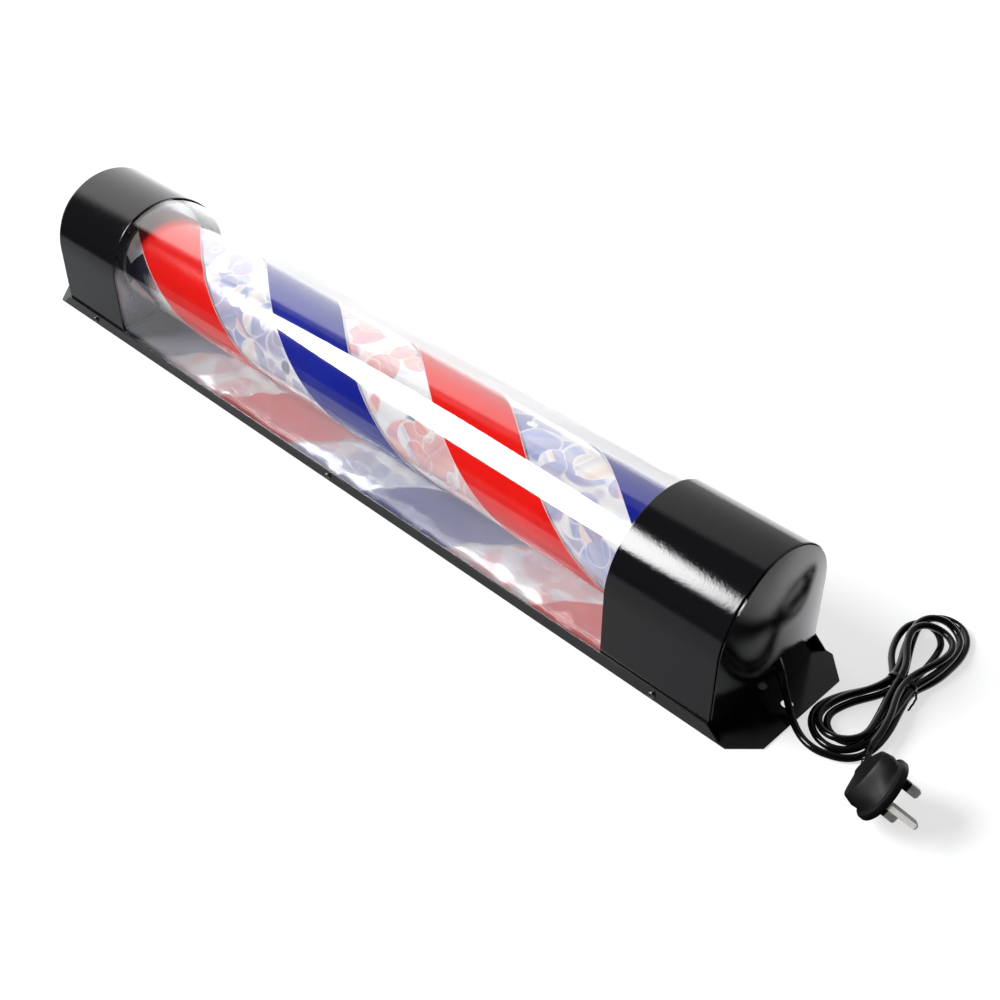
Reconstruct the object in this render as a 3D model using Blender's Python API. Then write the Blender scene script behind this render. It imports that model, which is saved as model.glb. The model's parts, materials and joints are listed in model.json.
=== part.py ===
"""Barber pole light lying on its back: a steel tray with two black end caps, a clear half-round
cover, and a motor-driven striped drum around a fixed lamp, with its mains lead and plug.

Metres, +Z up. X runs along the pole, towards the end with the lead. The origin is under the
middle of the tray, on the surface that the tray lies on."""

import math

import bmesh
import bpy
from mathutils import Matrix, Vector

# --- driving dimensions, in metres ---
OVERALL_LENGTH = 0.8888   # tongue tip to tongue tip
TONGUE_LENGTH = 0.0359    # from a cap's end edge to the tongue's tip
TONGUE_CHAMFER = 0.0190
SHEET = 0.0012            # tray and cap steel
GAP = 0.0003              # clearance between neighbouring pieces

CAP_RADIUS = 0.0625       # outside of the caps' half-round top, and half their width
AXIS_HEIGHT = 0.0648      # centre of the half-round top and of the drum
CORD_CAP_LENGTH = 0.1005
FAR_CAP_LENGTH = 0.0953
CAP_SHEET = 0.0010
TRAY_SIDE_GAP = 0.0008    # between a cap and the tray's lip
LIP_HEIGHT = 0.0110
LIP_END_SLOPE = 0.0110

COVER_WALL = 0.0013
COVER_OVERLAP = 0.0100    # how far the clear cover reaches into each cap
DOME_RISE = 0.0105        # how far an end plate swells past its cap's edge
DOME_FLANGE = 0.0120

WALL_HOLE_RADIUS = 0.0045
WALL_HOLE_INSET = 0.0134  # from the tongue's tip
SIDE_SCREW_INSET = 0.0484  # end screws, from a cap's end edge
SIDE_SCREW_HEIGHT = 0.0056
SCREW_SHANK = 0.0014
SCREW_HOLE = 0.0017
SCREW_HEAD = 0.0028
SCREW_HEAD_HEIGHT = 0.0019

DRUM_RADIUS = 0.0455
DRUM_WALL = 0.0008
DRUM_OVERLAP = 0.0120     # how far the drum reaches into each cap
FILM_WALL = 0.0003
DISC_WALL = 0.0040
STRIPE_PITCH = 0.4110
STRIPE_WIDTH = 0.1050     # along the axis
RED_START = -0.3560       # a red stripe's far edge at the top of the drum

LAMP_RADIUS = 0.0080
LAMP_CAP_LENGTH = 0.0120
LAMP_CLEARANCE = 0.0020   # around the fixed lamp, inside the drum's hollow journal
JOURNAL_WALL = 0.0030
BEARING_WALL = 0.0050
BEARING_FLANGE = 0.0030

BRACKET_SHEET = 0.0015
BRACKET_INSET = 0.0100    # from the drum's end to its bracket
BRACKET_FOOT = 0.0140
BRACKET_MARGIN = 0.0055   # between a bracket's edge and the cap's inside
FOOT_SHARE = 0.86         # of a bracket's half width
FOOT_SCREW_MARGIN = 0.0085

MOTOR_RADIUS = 0.0245
GEARBOX_LENGTH = 0.0140
CAN_LENGTH = 0.0160
EAR_REACH = 0.0060        # past a motor screw's middle
DRIVE_SHAFT_RADIUS = 0.0030
HUB_WALL = 0.0060

CORD_RADIUS = 0.0027
EXIT_HEIGHT = 0.0300
SLEEVE_AXIS = Vector((0.55, -0.06, -0.833)).normalized()

# --- places worked out from them ---
HALF_LENGTH = OVERALL_LENGTH / 2
CAP_END = HALF_LENGTH - TONGUE_LENGTH
CORD_RIM = CAP_END - CORD_CAP_LENGTH
FAR_RIM = -CAP_END + FAR_CAP_LENGTH
TRAY_HALF = CAP_RADIUS + TRAY_SIDE_GAP + SHEET
FLOOR_TOP = SHEET + GAP
DRUM_FAR = FAR_RIM - DRUM_OVERLAP
DRUM_CORD = CORD_RIM + DRUM_OVERLAP
BRACKET_CORD = DRUM_CORD + BRACKET_INSET
BRACKET_FAR = DRUM_FAR - BRACKET_INSET
WALL_HOLE_X = HALF_LENGTH - WALL_HOLE_INSET
END_SCREW_X = CAP_END - SIDE_SCREW_INSET
FILM_OUTER = DRUM_RADIUS - DRUM_WALL - GAP
DISC_RADIUS = FILM_OUTER + GAP / 3
COVER_RADIUS = CAP_RADIUS - CAP_SHEET - GAP
BRACKET_RADIUS = COVER_RADIUS - COVER_WALL - BRACKET_MARGIN
FOOT_HALF = BRACKET_RADIUS * FOOT_SHARE
FOOT_SCREW_SPREAD = FOOT_HALF - FOOT_SCREW_MARGIN
JOURNAL_BORE = LAMP_RADIUS + LAMP_CLEARANCE
JOURNAL_RADIUS = JOURNAL_BORE + JOURNAL_WALL
BEARING_RADIUS = JOURNAL_RADIUS + BEARING_WALL
MOTOR_SCREW_SPREAD = MOTOR_RADIUS + EAR_REACH
HUB_RADIUS = DRIVE_SHAFT_RADIUS + HUB_WALL


# --- materials ---
def finish(name, colour, roughness, metallic=0.0, alpha=1.0):
    found = bpy.data.materials.get(name)
    if found:
        return found
    made = bpy.data.materials.new(name)
    made.use_nodes = True
    shader = made.node_tree.nodes["Principled BSDF"]
    shader.inputs["Base Color"].default_value = (*colour, 1.0)
    shader.inputs["Roughness"].default_value = roughness
    shader.inputs["Metallic"].default_value = metallic
    shader.inputs["Alpha"].default_value = alpha
    made.diffuse_color = (*colour, alpha)
    return made


def black_paint():
    return finish("black_gloss_paint", (0.012, 0.012, 0.013), 0.12)


def zinc():
    return finish("zinc_steel", (0.62, 0.63, 0.65), 0.35, 1.0)


def mirror():
    return finish("mirror_sheet", (0.90, 0.91, 0.93), 0.04, 1.0)


def clear_plastic():
    return finish("clear_plastic", (0.95, 0.97, 1.0), 0.03, alpha=0.25)


def red_film():
    return finish("red_film", (0.80, 0.02, 0.02), 0.2)


def blue_film():
    return finish("blue_film", (0.02, 0.04, 0.35), 0.2)


def silver_film():
    return finish("prism_film", (0.80, 0.82, 0.88), 0.2, 0.8)


def white_plastic():
    return finish("white_plastic", (0.85, 0.85, 0.84), 0.45)


def lamp_plastic():
    return finish("opal_plastic", (0.95, 0.95, 0.93), 0.4)


def black_rubber():
    return finish("black_rubber", (0.015, 0.015, 0.016), 0.35)


def brass():
    return finish("nickel_brass", (0.72, 0.68, 0.58), 0.25, 1.0)


# --- mesh helpers ---
def place(name, mesh_data, material, origin=(0.0, 0.0, 0.0), smooth=True):
    """Puts the bmesh in the scene as an object whose origin is at the given point."""
    bmesh.ops.remove_doubles(mesh_data, verts=mesh_data.verts, dist=1e-7)
    bmesh.ops.recalc_face_normals(mesh_data, faces=mesh_data.faces)
    if mesh_data.calc_volume(signed=True) < 0:
        bmesh.ops.reverse_faces(mesh_data, faces=mesh_data.faces)
    bmesh.ops.translate(mesh_data, verts=mesh_data.verts, vec=-Vector(origin))
    mesh = bpy.data.meshes.new(name)
    mesh_data.to_mesh(mesh)
    mesh_data.free()
    mesh.materials.append(material)
    if smooth:
        mesh.shade_smooth()
        mesh.set_sharp_from_angle(angle=math.radians(35))
    made = bpy.data.objects.new(name, mesh)
    made.location = origin
    bpy.context.scene.collection.objects.link(made)
    return made


def loft(rings, closed=False):
    """Skins rings of equal length. Closed joins the last ring to the first, like a tube's wall."""
    data = bmesh.new()
    rows = [[data.verts.new(point) for point in ring] for ring in rings]
    pairs = list(zip(rows, rows[1:]))
    if closed:
        pairs.append((rows[-1], rows[0]))
    for low, high in pairs:
        for i in range(len(low)):
            j = (i + 1) % len(low)
            data.faces.new((low[i], low[j], high[j], high[i]))
    if not closed:
        data.faces.new(rows[0])
        data.faces.new(rows[-1])
    return data


def circle(radius, count, start=0.0):
    step = 2 * math.pi / count
    return [(radius * math.cos(start + i * step), radius * math.sin(start + i * step)) for i in range(count)]


def turned(profile, centre, count=32, closed=False, axis=Vector((1, 0, 0))):
    """Turns (distance along the axis, radius) pairs about an axis through the centre."""
    axis = axis.normalized()
    side = Vector((0, 1, 0)) if abs(axis.y) < 0.9 else Vector((1, 0, 0))
    side = (side - axis * side.dot(axis)).normalized()
    other = axis.cross(side)
    centre = Vector(centre)
    rings = []
    for along, radius in profile:
        rings.append([centre + axis * along + side * y + other * z for y, z in circle(radius, count)])
    return loft(rings, closed)


def tube_profile(low, high, outer, inner):
    return [(low, inner), (low, outer), (high, outer), (high, inner)]


def block(low, high):
    data = bmesh.new()
    bmesh.ops.create_cube(data, size=1.0)
    size = Vector(high) - Vector(low)
    bmesh.ops.scale(data, vec=size, verts=data.verts)
    bmesh.ops.translate(data, vec=(Vector(low) + Vector(high)) / 2, verts=data.verts)
    return data


def along_x(outline, low, high):
    """Extrudes a (y, z) outline from x = low to x = high."""
    return loft([[(x, y, z) for y, z in outline] for x in (low, high)])


def along_z(outline, low, high):
    return loft([[(x, y, z) for x, y in outline] for z in (low, high)])


def hollow(name, target, operation="DIFFERENCE"):
    """Uses the named helper, which isn't part of the object, to cut or join the target."""
    helper = bpy.data.objects[name]
    helper.hide_render = True
    helper.display_type = "WIRE"
    boolean = target.modifiers.new(name, "BOOLEAN")
    boolean.operation = operation
    boolean.object = helper
    boolean.solver = "EXACT"


def drill(target, centre, radius, depth, axis=Vector((0, 0, 1)), count=20):
    """A round hole through the target, centred on the point and reaching depth each way."""
    name = "cutter_" + target.name + "_" + str(len(target.modifiers))
    data = turned([(-depth, radius), (depth, radius)], centre, count, axis=axis)
    place(name, data, black_paint(), smooth=False)
    hollow(name, target)


def arch_line(radius, bottom, turns=24, sides=1):
    """(y, z) points up one side, over the half-round top and down the other side."""
    points = [(-radius, bottom + (AXIS_HEIGHT - bottom) * i / sides) for i in range(sides)]
    for i in range(turns + 1):
        angle = math.pi * i / turns
        points.append((-radius * math.cos(angle), AXIS_HEIGHT + radius * math.sin(angle)))
    points += [(y * -1, z) for y, z in reversed(points[:sides])]
    return points


def arch_shell(low, high, radius, wall, bottom, turns=24):
    outside = arch_line(radius, bottom, turns)
    inside = arch_line(radius - wall, bottom, turns)
    data = bmesh.new()
    grid = [
        [data.verts.new((x, y, z)) for y, z in line]
        for x, line in ((low, outside), (high, outside), (high, inside), (low, inside))
    ]
    for row, following in zip(grid, grid[1:] + grid[:1]):
        for i in range(len(row) - 1):
            data.faces.new((row[i], row[i + 1], following[i + 1], following[i]))
    for end in (0, -1):
        data.faces.new([row[end] for row in grid])
    return data


# --- tray, mirror and screws ---
def tray():
    inner = HALF_LENGTH - TONGUE_CHAMFER
    narrow = TRAY_HALF - TONGUE_CHAMFER
    outline = [
        (-inner, -TRAY_HALF), (inner, -TRAY_HALF), (HALF_LENGTH, -narrow), (HALF_LENGTH, narrow),
        (inner, TRAY_HALF), (-inner, TRAY_HALF), (-HALF_LENGTH, narrow), (-HALF_LENGTH, -narrow),
    ]
    floor = place("base_tray", along_z(outline, 0.0, SHEET), black_paint(), smooth=False)
    foot = CAP_END + LIP_END_SLOPE
    side = [(-foot, SHEET / 2), (foot, SHEET / 2), (foot, SHEET), (CAP_END, LIP_HEIGHT), (-CAP_END, LIP_HEIGHT), (-foot, SHEET)]
    for name, face in (("near", -TRAY_HALF), ("rear", TRAY_HALF - SHEET)):
        rings = [[(x, y, z) for x, z in side] for y in (face, face + SHEET)]
        place("joiner_lip_" + name, loft(rings), black_paint(), smooth=False)
        hollow("joiner_lip_" + name, floor, "UNION")
    for x in (-WALL_HOLE_X, WALL_HOLE_X):
        drill(floor, (x, 0, 0), WALL_HOLE_RADIUS, 2 * SHEET, count=24)
    for x in (-END_SCREW_X, 0.0, END_SCREW_X):
        for y in (-TRAY_HALF, TRAY_HALF):
            drill(floor, (x, y, SIDE_SCREW_HEIGHT), SCREW_HOLE, 2 * SHEET, Vector((0, 1, 0)), 12)
    for x in foot_screw_places():
        for y in (-FOOT_SCREW_SPREAD, FOOT_SCREW_SPREAD):
            drill(floor, (x, y, 0), SCREW_HOLE, 2 * SHEET, count=12)


def mirror_sheet():
    edge = COVER_RADIUS - COVER_WALL - 2 * GAP
    data = block((DRUM_FAR, -edge, FLOOR_TOP), (DRUM_CORD, edge, FLOOR_TOP + SHEET / 2))
    place("mirror_sheet", data, mirror(), smooth=False)


def pan_screw(name, centre, axis, grip):
    """Round-headed screw: the head stands on the face at the centre, the shank goes back along the axis."""
    profile = [
        (-grip, SCREW_SHANK * 0.6), (-grip + 0.0008, SCREW_SHANK), (GAP, SCREW_SHANK), (GAP, SCREW_HEAD),
        (GAP + SCREW_HEAD_HEIGHT * 0.45, SCREW_HEAD), (GAP + SCREW_HEAD_HEIGHT * 0.85, SCREW_HEAD * 0.72),
        (GAP + SCREW_HEAD_HEIGHT, SCREW_HEAD * 0.35),
    ]
    data = turned(profile, centre, 12, axis=axis)
    return place(name, data, zinc(), origin=centre)


def side_screws():
    places = (("far", -END_SCREW_X), ("mid", 0.0), ("cord", END_SCREW_X))
    for row, way in (("near", -1), ("rear", 1)):
        for where, x in places:
            centre = (x, way * TRAY_HALF, SIDE_SCREW_HEIGHT)
            pan_screw("side_screw_" + row + "_" + where, centre, Vector((0, way, 0)), 0.0058)


# --- caps, end plates and clear cover ---
def caps():
    for name, low, high in (("cord_cap_shell", CORD_RIM, CAP_END), ("far_cap_shell", -CAP_END, FAR_RIM)):
        shell = place(name, arch_shell(low, high, CAP_RADIUS, CAP_SHEET, FLOOR_TOP), black_paint())
        screw_x = math.copysign(END_SCREW_X, low + high)
        for y in (-CAP_RADIUS, CAP_RADIUS):
            drill(shell, (screw_x, y, SIDE_SCREW_HEIGHT), SCREW_HOLE, 3 * CAP_SHEET, Vector((0, 1, 0)), 12)


def clear_cover():
    low, high = FAR_RIM - COVER_OVERLAP, CORD_RIM + COVER_OVERLAP
    cover = place("clear_cover", arch_shell(low, high, COVER_RADIUS, COVER_WALL, FLOOR_TOP, 32), clear_plastic())
    for y in (-COVER_RADIUS, COVER_RADIUS):
        drill(cover, (0, y, SIDE_SCREW_HEIGHT), SCREW_HOLE, 3 * COVER_WALL, Vector((0, 1, 0)), 12)


def dome_rise(y, z):
    """How far the end plate swells out: most near its straight bottom edge, nothing at its curved edge."""
    across = y / (CAP_RADIUS * 1.06)
    upward = (z - 0.35 * AXIS_HEIGHT) / (0.65 * AXIS_HEIGHT + CAP_RADIUS)
    return DOME_RISE * (1 - across**2) * (1 - upward**2)


def plate_outline(radius, bottom):
    line = arch_line(radius, bottom, 20, 4)
    corner = line[-1][0]
    along_bottom = [(corner * (1 - i / 4), bottom) for i in range(1, 8)]
    return line + along_bottom


def end_plate(name, way):
    """A swelling plate with a flange that slides into the cap. Way is 1 at the lead's end, -1 at the far end."""
    outer = plate_outline(CAP_RADIUS - CAP_SHEET - GAP, FLOOR_TOP)
    inner = plate_outline(CAP_RADIUS - CAP_SHEET - GAP - SHEET, FLOOR_TOP + SHEET)
    middle_z = FLOOR_TOP + 0.45 * (AXIS_HEIGHT + CAP_RADIUS)
    shares = (0.25, 0.5, 0.72, 0.88, 0.97)

    def ring(outline, share, setback):
        points = []
        for y, z in outline:
            y, z = y * share, middle_z + (z - middle_z) * share
            points.append((way * (CAP_END + dome_rise(y, z) - setback), y, z))
        return points

    back = way * (CAP_END - DOME_FLANGE)
    rings = [ring(outer, share, 0.0) for share in shares + (1.0,)]
    rings.append([(back, y, z) for y, z in outer])
    rings.append([(back, y, z) for y, z in inner])
    rings += [ring(inner, share, SHEET) for share in (1.0,) + shares[::-1]]
    return place(name, loft(rings), black_paint())


def end_plates():
    end_plate("far_end_plate", -1)
    plate = end_plate("cord_end_plate", 1)
    drill(plate, exit_point(), CORD_RADIUS * 1.55 + 2 * GAP, 0.012, SLEEVE_AXIS, 20)


# --- brackets ---
def foot_screw_places():
    reach = BRACKET_SHEET + BRACKET_FOOT * 0.6
    return (BRACKET_FAR - reach, BRACKET_CORD + reach)


def bracket(name, face, way, bore):
    """An upright plate that follows the cap's inside, with a foot screwed to the tray."""
    low, high = sorted((face, face + way * BRACKET_SHEET))
    outline = arch_line(BRACKET_RADIUS, FLOOR_TOP, 16)
    plate = place(name, along_x(outline, low, high), zinc(), smooth=False)
    ends = sorted((face + way * BRACKET_SHEET / 2, face + way * (BRACKET_SHEET + BRACKET_FOOT)))
    foot = block((ends[0], -FOOT_HALF, FLOOR_TOP), (ends[1], FOOT_HALF, FLOOR_TOP + BRACKET_SHEET))
    place("joiner_" + name, foot, zinc(), smooth=False)
    hollow("joiner_" + name, plate, "UNION")
    drill(plate, (face, 0, AXIS_HEIGHT), bore, 0.006, Vector((1, 0, 0)), 32)
    screw_x = face + way * (BRACKET_SHEET + BRACKET_FOOT * 0.6)
    for y, side in ((-FOOT_SCREW_SPREAD, "near"), (FOOT_SCREW_SPREAD, "rear")):
        drill(plate, (screw_x, y, FLOOR_TOP), SCREW_HOLE, 0.004, count=12)
        top = (screw_x, y, FLOOR_TOP + BRACKET_SHEET)
        pan_screw(name + "_screw_" + side, top, Vector((0, 0, 1)), FLOOR_TOP + BRACKET_SHEET - GAP)
    return plate


# --- drum: what turns ---
def drum():
    centre = (0, 0, AXIS_HEIGHT)
    tube = turned(tube_profile(DRUM_FAR, DRUM_CORD, DRUM_RADIUS, DRUM_RADIUS - DRUM_WALL), centre, 48, True)
    place("drum_tube", tube, clear_plastic(), origin=centre)
    low, high = DRUM_FAR + DISC_WALL + 2 * GAP, DRUM_CORD - DISC_WALL - 2 * GAP
    film = turned(tube_profile(low, high, FILM_OUTER, FILM_OUTER - FILM_WALL), centre, 48, True)
    place("prism_film", film, silver_film(), origin=centre)


def stripe(name, start, material):
    """A helical band: its far edge moves along the axis by one pitch for each turn."""
    inner = DRUM_RADIUS + GAP
    outer = inner + FILM_WALL
    low, high = DRUM_FAR + GAP, DRUM_CORD - GAP
    step = 7.5
    narrowest = 0.002
    first = math.ceil(((low - STRIPE_WIDTH + narrowest - start) / STRIPE_PITCH * 360) / step)
    last = math.floor(((high - narrowest - start) / STRIPE_PITCH * 360) / step)
    rings = []
    for i in range(first, last + 1):
        turn = i * step
        edge = start + STRIPE_PITCH * turn / 360
        ends = (max(edge, low), min(edge + STRIPE_WIDTH, high))
        angle = math.radians(90 + turn)
        y, z = math.cos(angle), math.sin(angle)
        corners = ((ends[0], inner), (ends[1], inner), (ends[1], outer), (ends[0], outer))
        rings.append([(x, y * r, AXIS_HEIGHT + z * r) for x, r in corners])
    place(name, loft(rings), material, origin=(0, 0, AXIS_HEIGHT))


def drum_ends():
    centre = (0, 0, AXIS_HEIGHT)
    pilot_bore = LAMP_RADIUS * 0.3 + GAP
    inner_face = DRUM_CORD - DISC_WALL - GAP
    boss = inner_face - 0.006
    profile = [
        (boss, pilot_bore), (boss, HUB_RADIUS * 0.8), (inner_face, HUB_RADIUS * 0.8), (inner_face, DISC_RADIUS),
        (DRUM_CORD - GAP, DISC_RADIUS), (DRUM_CORD - GAP, pilot_bore),
    ]
    place("drum_drive_disc", turned(profile, centre, 40, True), white_plastic(), origin=centre)
    inner_face = DRUM_FAR + DISC_WALL + GAP
    journal = BRACKET_FAR - BRACKET_SHEET - 0.004
    profile = [
        (inner_face, JOURNAL_BORE), (inner_face, DISC_RADIUS), (DRUM_FAR + GAP, DISC_RADIUS),
        (DRUM_FAR + GAP, JOURNAL_RADIUS), (journal, JOURNAL_RADIUS), (journal, JOURNAL_BORE),
    ]
    place("drum_journal_disc", turned(profile, centre, 40, True), white_plastic(), origin=centre)


def drive():
    centre = (0, 0, AXIS_HEIGHT)
    bore = DRIVE_SHAFT_RADIUS + GAP
    end = BRACKET_CORD - 0.0025
    coupling = turned(tube_profile(DRUM_CORD, end, HUB_RADIUS, bore), centre, 24, True)
    place("drive_coupling", coupling, white_plastic(), origin=centre)
    shaft_end = BRACKET_CORD + BRACKET_SHEET + GEARBOX_LENGTH * 0.6
    shaft = turned([(DRUM_CORD + GAP, DRIVE_SHAFT_RADIUS), (shaft_end, DRIVE_SHAFT_RADIUS)], centre, 16)
    place("motor_shaft", shaft, zinc(), origin=centre)


# --- what stands still inside ---
def bearing():
    centre = (0, 0, AXIS_HEIGHT)
    bore = JOURNAL_RADIUS + GAP
    near = BRACKET_FAR + GAP
    far = BRACKET_FAR - BRACKET_SHEET - 0.002
    profile = [
        (near + 0.0015, bore), (near + 0.0015, BEARING_RADIUS + BEARING_FLANGE), (near, BEARING_RADIUS + BEARING_FLANGE),
        (near, BEARING_RADIUS), (far, BEARING_RADIUS), (far, bore),
    ]
    place("journal_bearing", turned(profile, centre, 32, True), brass(), origin=centre)


def lamp():
    centre = (0, 0, AXIS_HEIGHT)
    holder_face = BRACKET_FAR - BRACKET_SHEET - BRACKET_FOOT - GAP
    far = holder_face + 0.0015 + GAP
    boss = DRUM_CORD - DISC_WALL - GAP - 0.006
    cap_far = boss - GAP - LAMP_CAP_LENGTH
    tube = turned([(far, LAMP_RADIUS), (cap_far - GAP, LAMP_RADIUS)], centre, 20)
    place("lamp_tube", tube, lamp_plastic(), origin=centre)
    pilot = LAMP_RADIUS * 0.3
    profile = [(cap_far, LAMP_RADIUS + GAP), (boss - GAP, LAMP_RADIUS + GAP), (boss - GAP, pilot), (boss + 0.006, pilot)]
    place("lamp_pilot_cap", turned(profile, centre, 20), white_plastic(), origin=centre)
    profile = [(far - GAP - LAMP_CAP_LENGTH, LAMP_RADIUS + GAP), (far - GAP, LAMP_RADIUS + GAP)]
    place("lamp_contact_cap", turned(profile, centre, 20), white_plastic(), origin=centre)
    holder = block((holder_face - 0.009, -0.014, FLOOR_TOP), (holder_face, 0.014, AXIS_HEIGHT + 0.016))
    holder = place("lamp_holder", holder, white_plastic(), smooth=False)
    drill(holder, (holder_face, 0, AXIS_HEIGHT), LAMP_RADIUS + 2 * GAP, 0.03, Vector((1, 0, 0)), 24)


def motor():
    centre = (0, 0, AXIS_HEIGHT)
    face = BRACKET_CORD + BRACKET_SHEET + GAP
    back = face + GEARBOX_LENGTH
    shaft_hole = DRIVE_SHAFT_RADIUS + GAP
    deep = back - 0.003
    profile = [(deep, 0.0012), (deep, shaft_hole), (face, shaft_hole), (face, MOTOR_RADIUS), (back, MOTOR_RADIUS), (back, 0.0012)]
    gearbox = place("motor_gearbox", turned(profile, centre, 32, True), zinc(), origin=centre)
    ear = MOTOR_SCREW_SPREAD + EAR_REACH
    ears = block((face, -ear, AXIS_HEIGHT - 0.006), (face + 0.0015, ear, AXIS_HEIGHT + 0.006))
    place("joiner_motor_ears", ears, zinc(), smooth=False)
    hollow("joiner_motor_ears", gearbox, "UNION")
    drill(gearbox, (face, 0, AXIS_HEIGHT), shaft_hole, 0.004, Vector((1, 0, 0)), 16)
    plate = bpy.data.objects["motor_bracket"]
    for y, side in ((-MOTOR_SCREW_SPREAD, "near"), (MOTOR_SCREW_SPREAD, "rear")):
        for piece in (gearbox, plate):
            drill(piece, (face, y, AXIS_HEIGHT), SCREW_HOLE, 0.005, Vector((1, 0, 0)), 12)
        head = (face + 0.0015, y, AXIS_HEIGHT)
        pan_screw("motor_screw_" + side, head, Vector((1, 0, 0)), 0.0045)
    can = turned(
        [(back + GAP, MOTOR_RADIUS * 0.96), (back + CAN_LENGTH - 0.002, MOTOR_RADIUS * 0.96), (back + CAN_LENGTH, MOTOR_RADIUS * 0.85)],
        centre, 32,
    )
    place("motor_can", can, zinc(), origin=centre)


def electrics():
    start = BRACKET_CORD + BRACKET_SHEET + BRACKET_FOOT + 0.004
    end = CAP_END - DOME_FLANGE - 0.002
    bottom = FLOOR_TOP + GAP
    box = block((start, 0.018, bottom), (end, 0.048, bottom + 0.020))
    bmesh.ops.bevel(box, geom=box.edges[:], offset=0.0012, segments=1, affect="EDGES")
    place("lamp_driver", box, white_plastic(), smooth=False)
    x = start + 0.022
    blocks = block((x, -0.044, bottom), (x + 0.012, -0.020, bottom + 0.013))
    strip = place("terminal_block", blocks, white_plastic(), smooth=False)
    for y in (-0.040, -0.032, -0.024):
        drill(strip, (x + 0.006, y, bottom + 0.013), 0.0016, 0.004, count=8)


# --- lead, hank, tie and plug ---
def exit_point():
    return Vector((CAP_END + dome_rise(0, EXIT_HEIGHT) - 0.0002, 0.0, EXIT_HEIGHT))


def sleeve():
    """Tapered rubber sleeve that the lead leaves the end plate through."""
    fat = CORD_RADIUS * 1.55
    profile = [(-0.0110, fat), (0.0030, fat), (0.0110, CORD_RADIUS * 1.22)]
    place("lead_sleeve", turned(profile, exit_point(), 16, axis=SLEEVE_AXIS), black_rubber())


def smooth_route(points, spacing):
    """Points at even spacing on a Catmull-Rom curve through the route's own points."""
    points = [Vector(p) for p in points]
    padded = [2 * points[0] - points[1]] + points + [2 * points[-1] - points[-2]]
    fine = []
    for a, b, c, d in zip(padded, padded[1:], padded[2:], padded[3:]):
        for i in range(16):
            t = i / 16
            fine.append(
                0.5 * (2 * b + (c - a) * t + (2 * a - 5 * b + 4 * c - d) * t**2 + (3 * b - a - 3 * c + d) * t**3)
            )
    fine.append(points[-1])
    route = [fine[0]]
    walked = 0.0
    for before, after in zip(fine, fine[1:]):
        walked += (after - before).length
        if walked >= spacing:
            route.append(after)
            walked = 0.0
    if (route[-1] - fine[-1]).length < spacing / 2:
        route.pop()
    route.append(fine[-1])
    return route


def cord_tube(name, points):
    curve = bpy.data.curves.new(name, "CURVE")
    curve.dimensions = "3D"
    curve.bevel_depth = CORD_RADIUS
    curve.bevel_resolution = 2
    curve.use_fill_caps = True
    route = smooth_route(points, CORD_RADIUS * 2)
    spline = curve.splines.new("POLY")
    spline.points.add(len(route) - 1)
    for slot, point in zip(spline.points, route):
        slot.co = (*point, 1.0)
    curve.materials.append(black_rubber())
    bpy.context.scene.collection.objects.link(bpy.data.objects.new(name, curve))


# The lead's route: out of the sleeve, over the tongue and along the surface to the hank.
LEAD_ROUTE = [
    (0.42480, -0.00070, 0.02050),
    (0.42800, -0.00180, 0.01580),
    (0.43180, -0.00390, 0.01150),
    (0.43700, -0.00760, 0.00770),
    (0.44400, -0.01270, 0.00520),
    (0.45200, -0.01780, 0.00360),
    (0.46100, -0.02170, 0.00300),
    (0.47000, -0.02280, 0.00290),
    (0.47850, -0.02100, 0.00290),
]

# The hank's outline, seen from above: two lobes and the waist that the tie holds.
HANK_OUTLINE = [
    (0.4700, -0.0170), (0.4560, -0.0060), (0.4490, 0.0140), (0.4560, 0.0400), (0.4705, 0.0620), (0.4705, 0.0760),
    (0.4580, 0.0940), (0.4500, 0.1180), (0.4510, 0.1450), (0.4640, 0.1610), (0.4800, 0.1560), (0.4930, 0.1340),
    (0.4970, 0.1040), (0.4905, 0.0760), (0.4905, 0.0620), (0.4985, 0.0400), (0.4995, 0.0140), (0.4900, -0.0090),
]
HANK_HEIGHT = 0.0118
TIE_Y = 0.0690
TIE_BAND = 0.0011

# From the hank to the plug's own sleeve.
TAIL_ROUTE = [(0.50070, -0.00680, 0.00900), (0.50170, -0.00900, 0.01010), (0.50270, -0.01130, 0.01140)]

PLUG_FACE = Vector((0.5324, -0.0386, 0.0258))
PLUG_PINS = Vector((0.850, 0.260, -0.457)).normalized()
PLUG_EARTH = Vector((0.470, -0.750, 0.447))


def hank():
    smooth = smooth_route([(x, y, 0) for x, y in HANK_OUTLINE + HANK_OUTLINE[:1]], 0.006)[:-1]
    body = place("cord_hank", along_z([(p.x, p.y) for p in smooth], 0.0, HANK_HEIGHT), black_rubber())
    half = 0.0016
    notch = block((0.44, TIE_Y - half - GAP, -0.01), (0.52, TIE_Y + half + GAP, TIE_BAND + 2 * GAP))
    place("cutter_tie_notch", notch, black_rubber(), smooth=False)
    hollow("cutter_tie_notch", body)
    low = Vector((0.4690, TIE_Y - half, GAP / 3))
    high = Vector((0.4920, TIE_Y + half, HANK_HEIGHT + TIE_BAND + GAP))
    band = place("cord_tie", block(low, high), black_rubber(), smooth=False)
    inside = block(
        (low.x + TIE_BAND, low.y - 0.01, low.z + TIE_BAND), (high.x - TIE_BAND, high.y + 0.01, high.z - TIE_BAND)
    )
    place("cutter_tie_inside", inside, black_rubber(), smooth=False)
    hollow("cutter_tie_inside", band)


def plug_frame():
    """Columns are the plug's width, its earth side and its pins' direction."""
    earth = (PLUG_EARTH - PLUG_PINS * PLUG_EARTH.dot(PLUG_PINS)).normalized()
    wide = earth.cross(PLUG_PINS)
    return Matrix((wide, earth, PLUG_PINS)).transposed()


def on_plug(rings):
    turn = plug_frame()
    return [[PLUG_FACE + turn @ Vector(p) for p in ring] for ring in rings]


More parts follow.
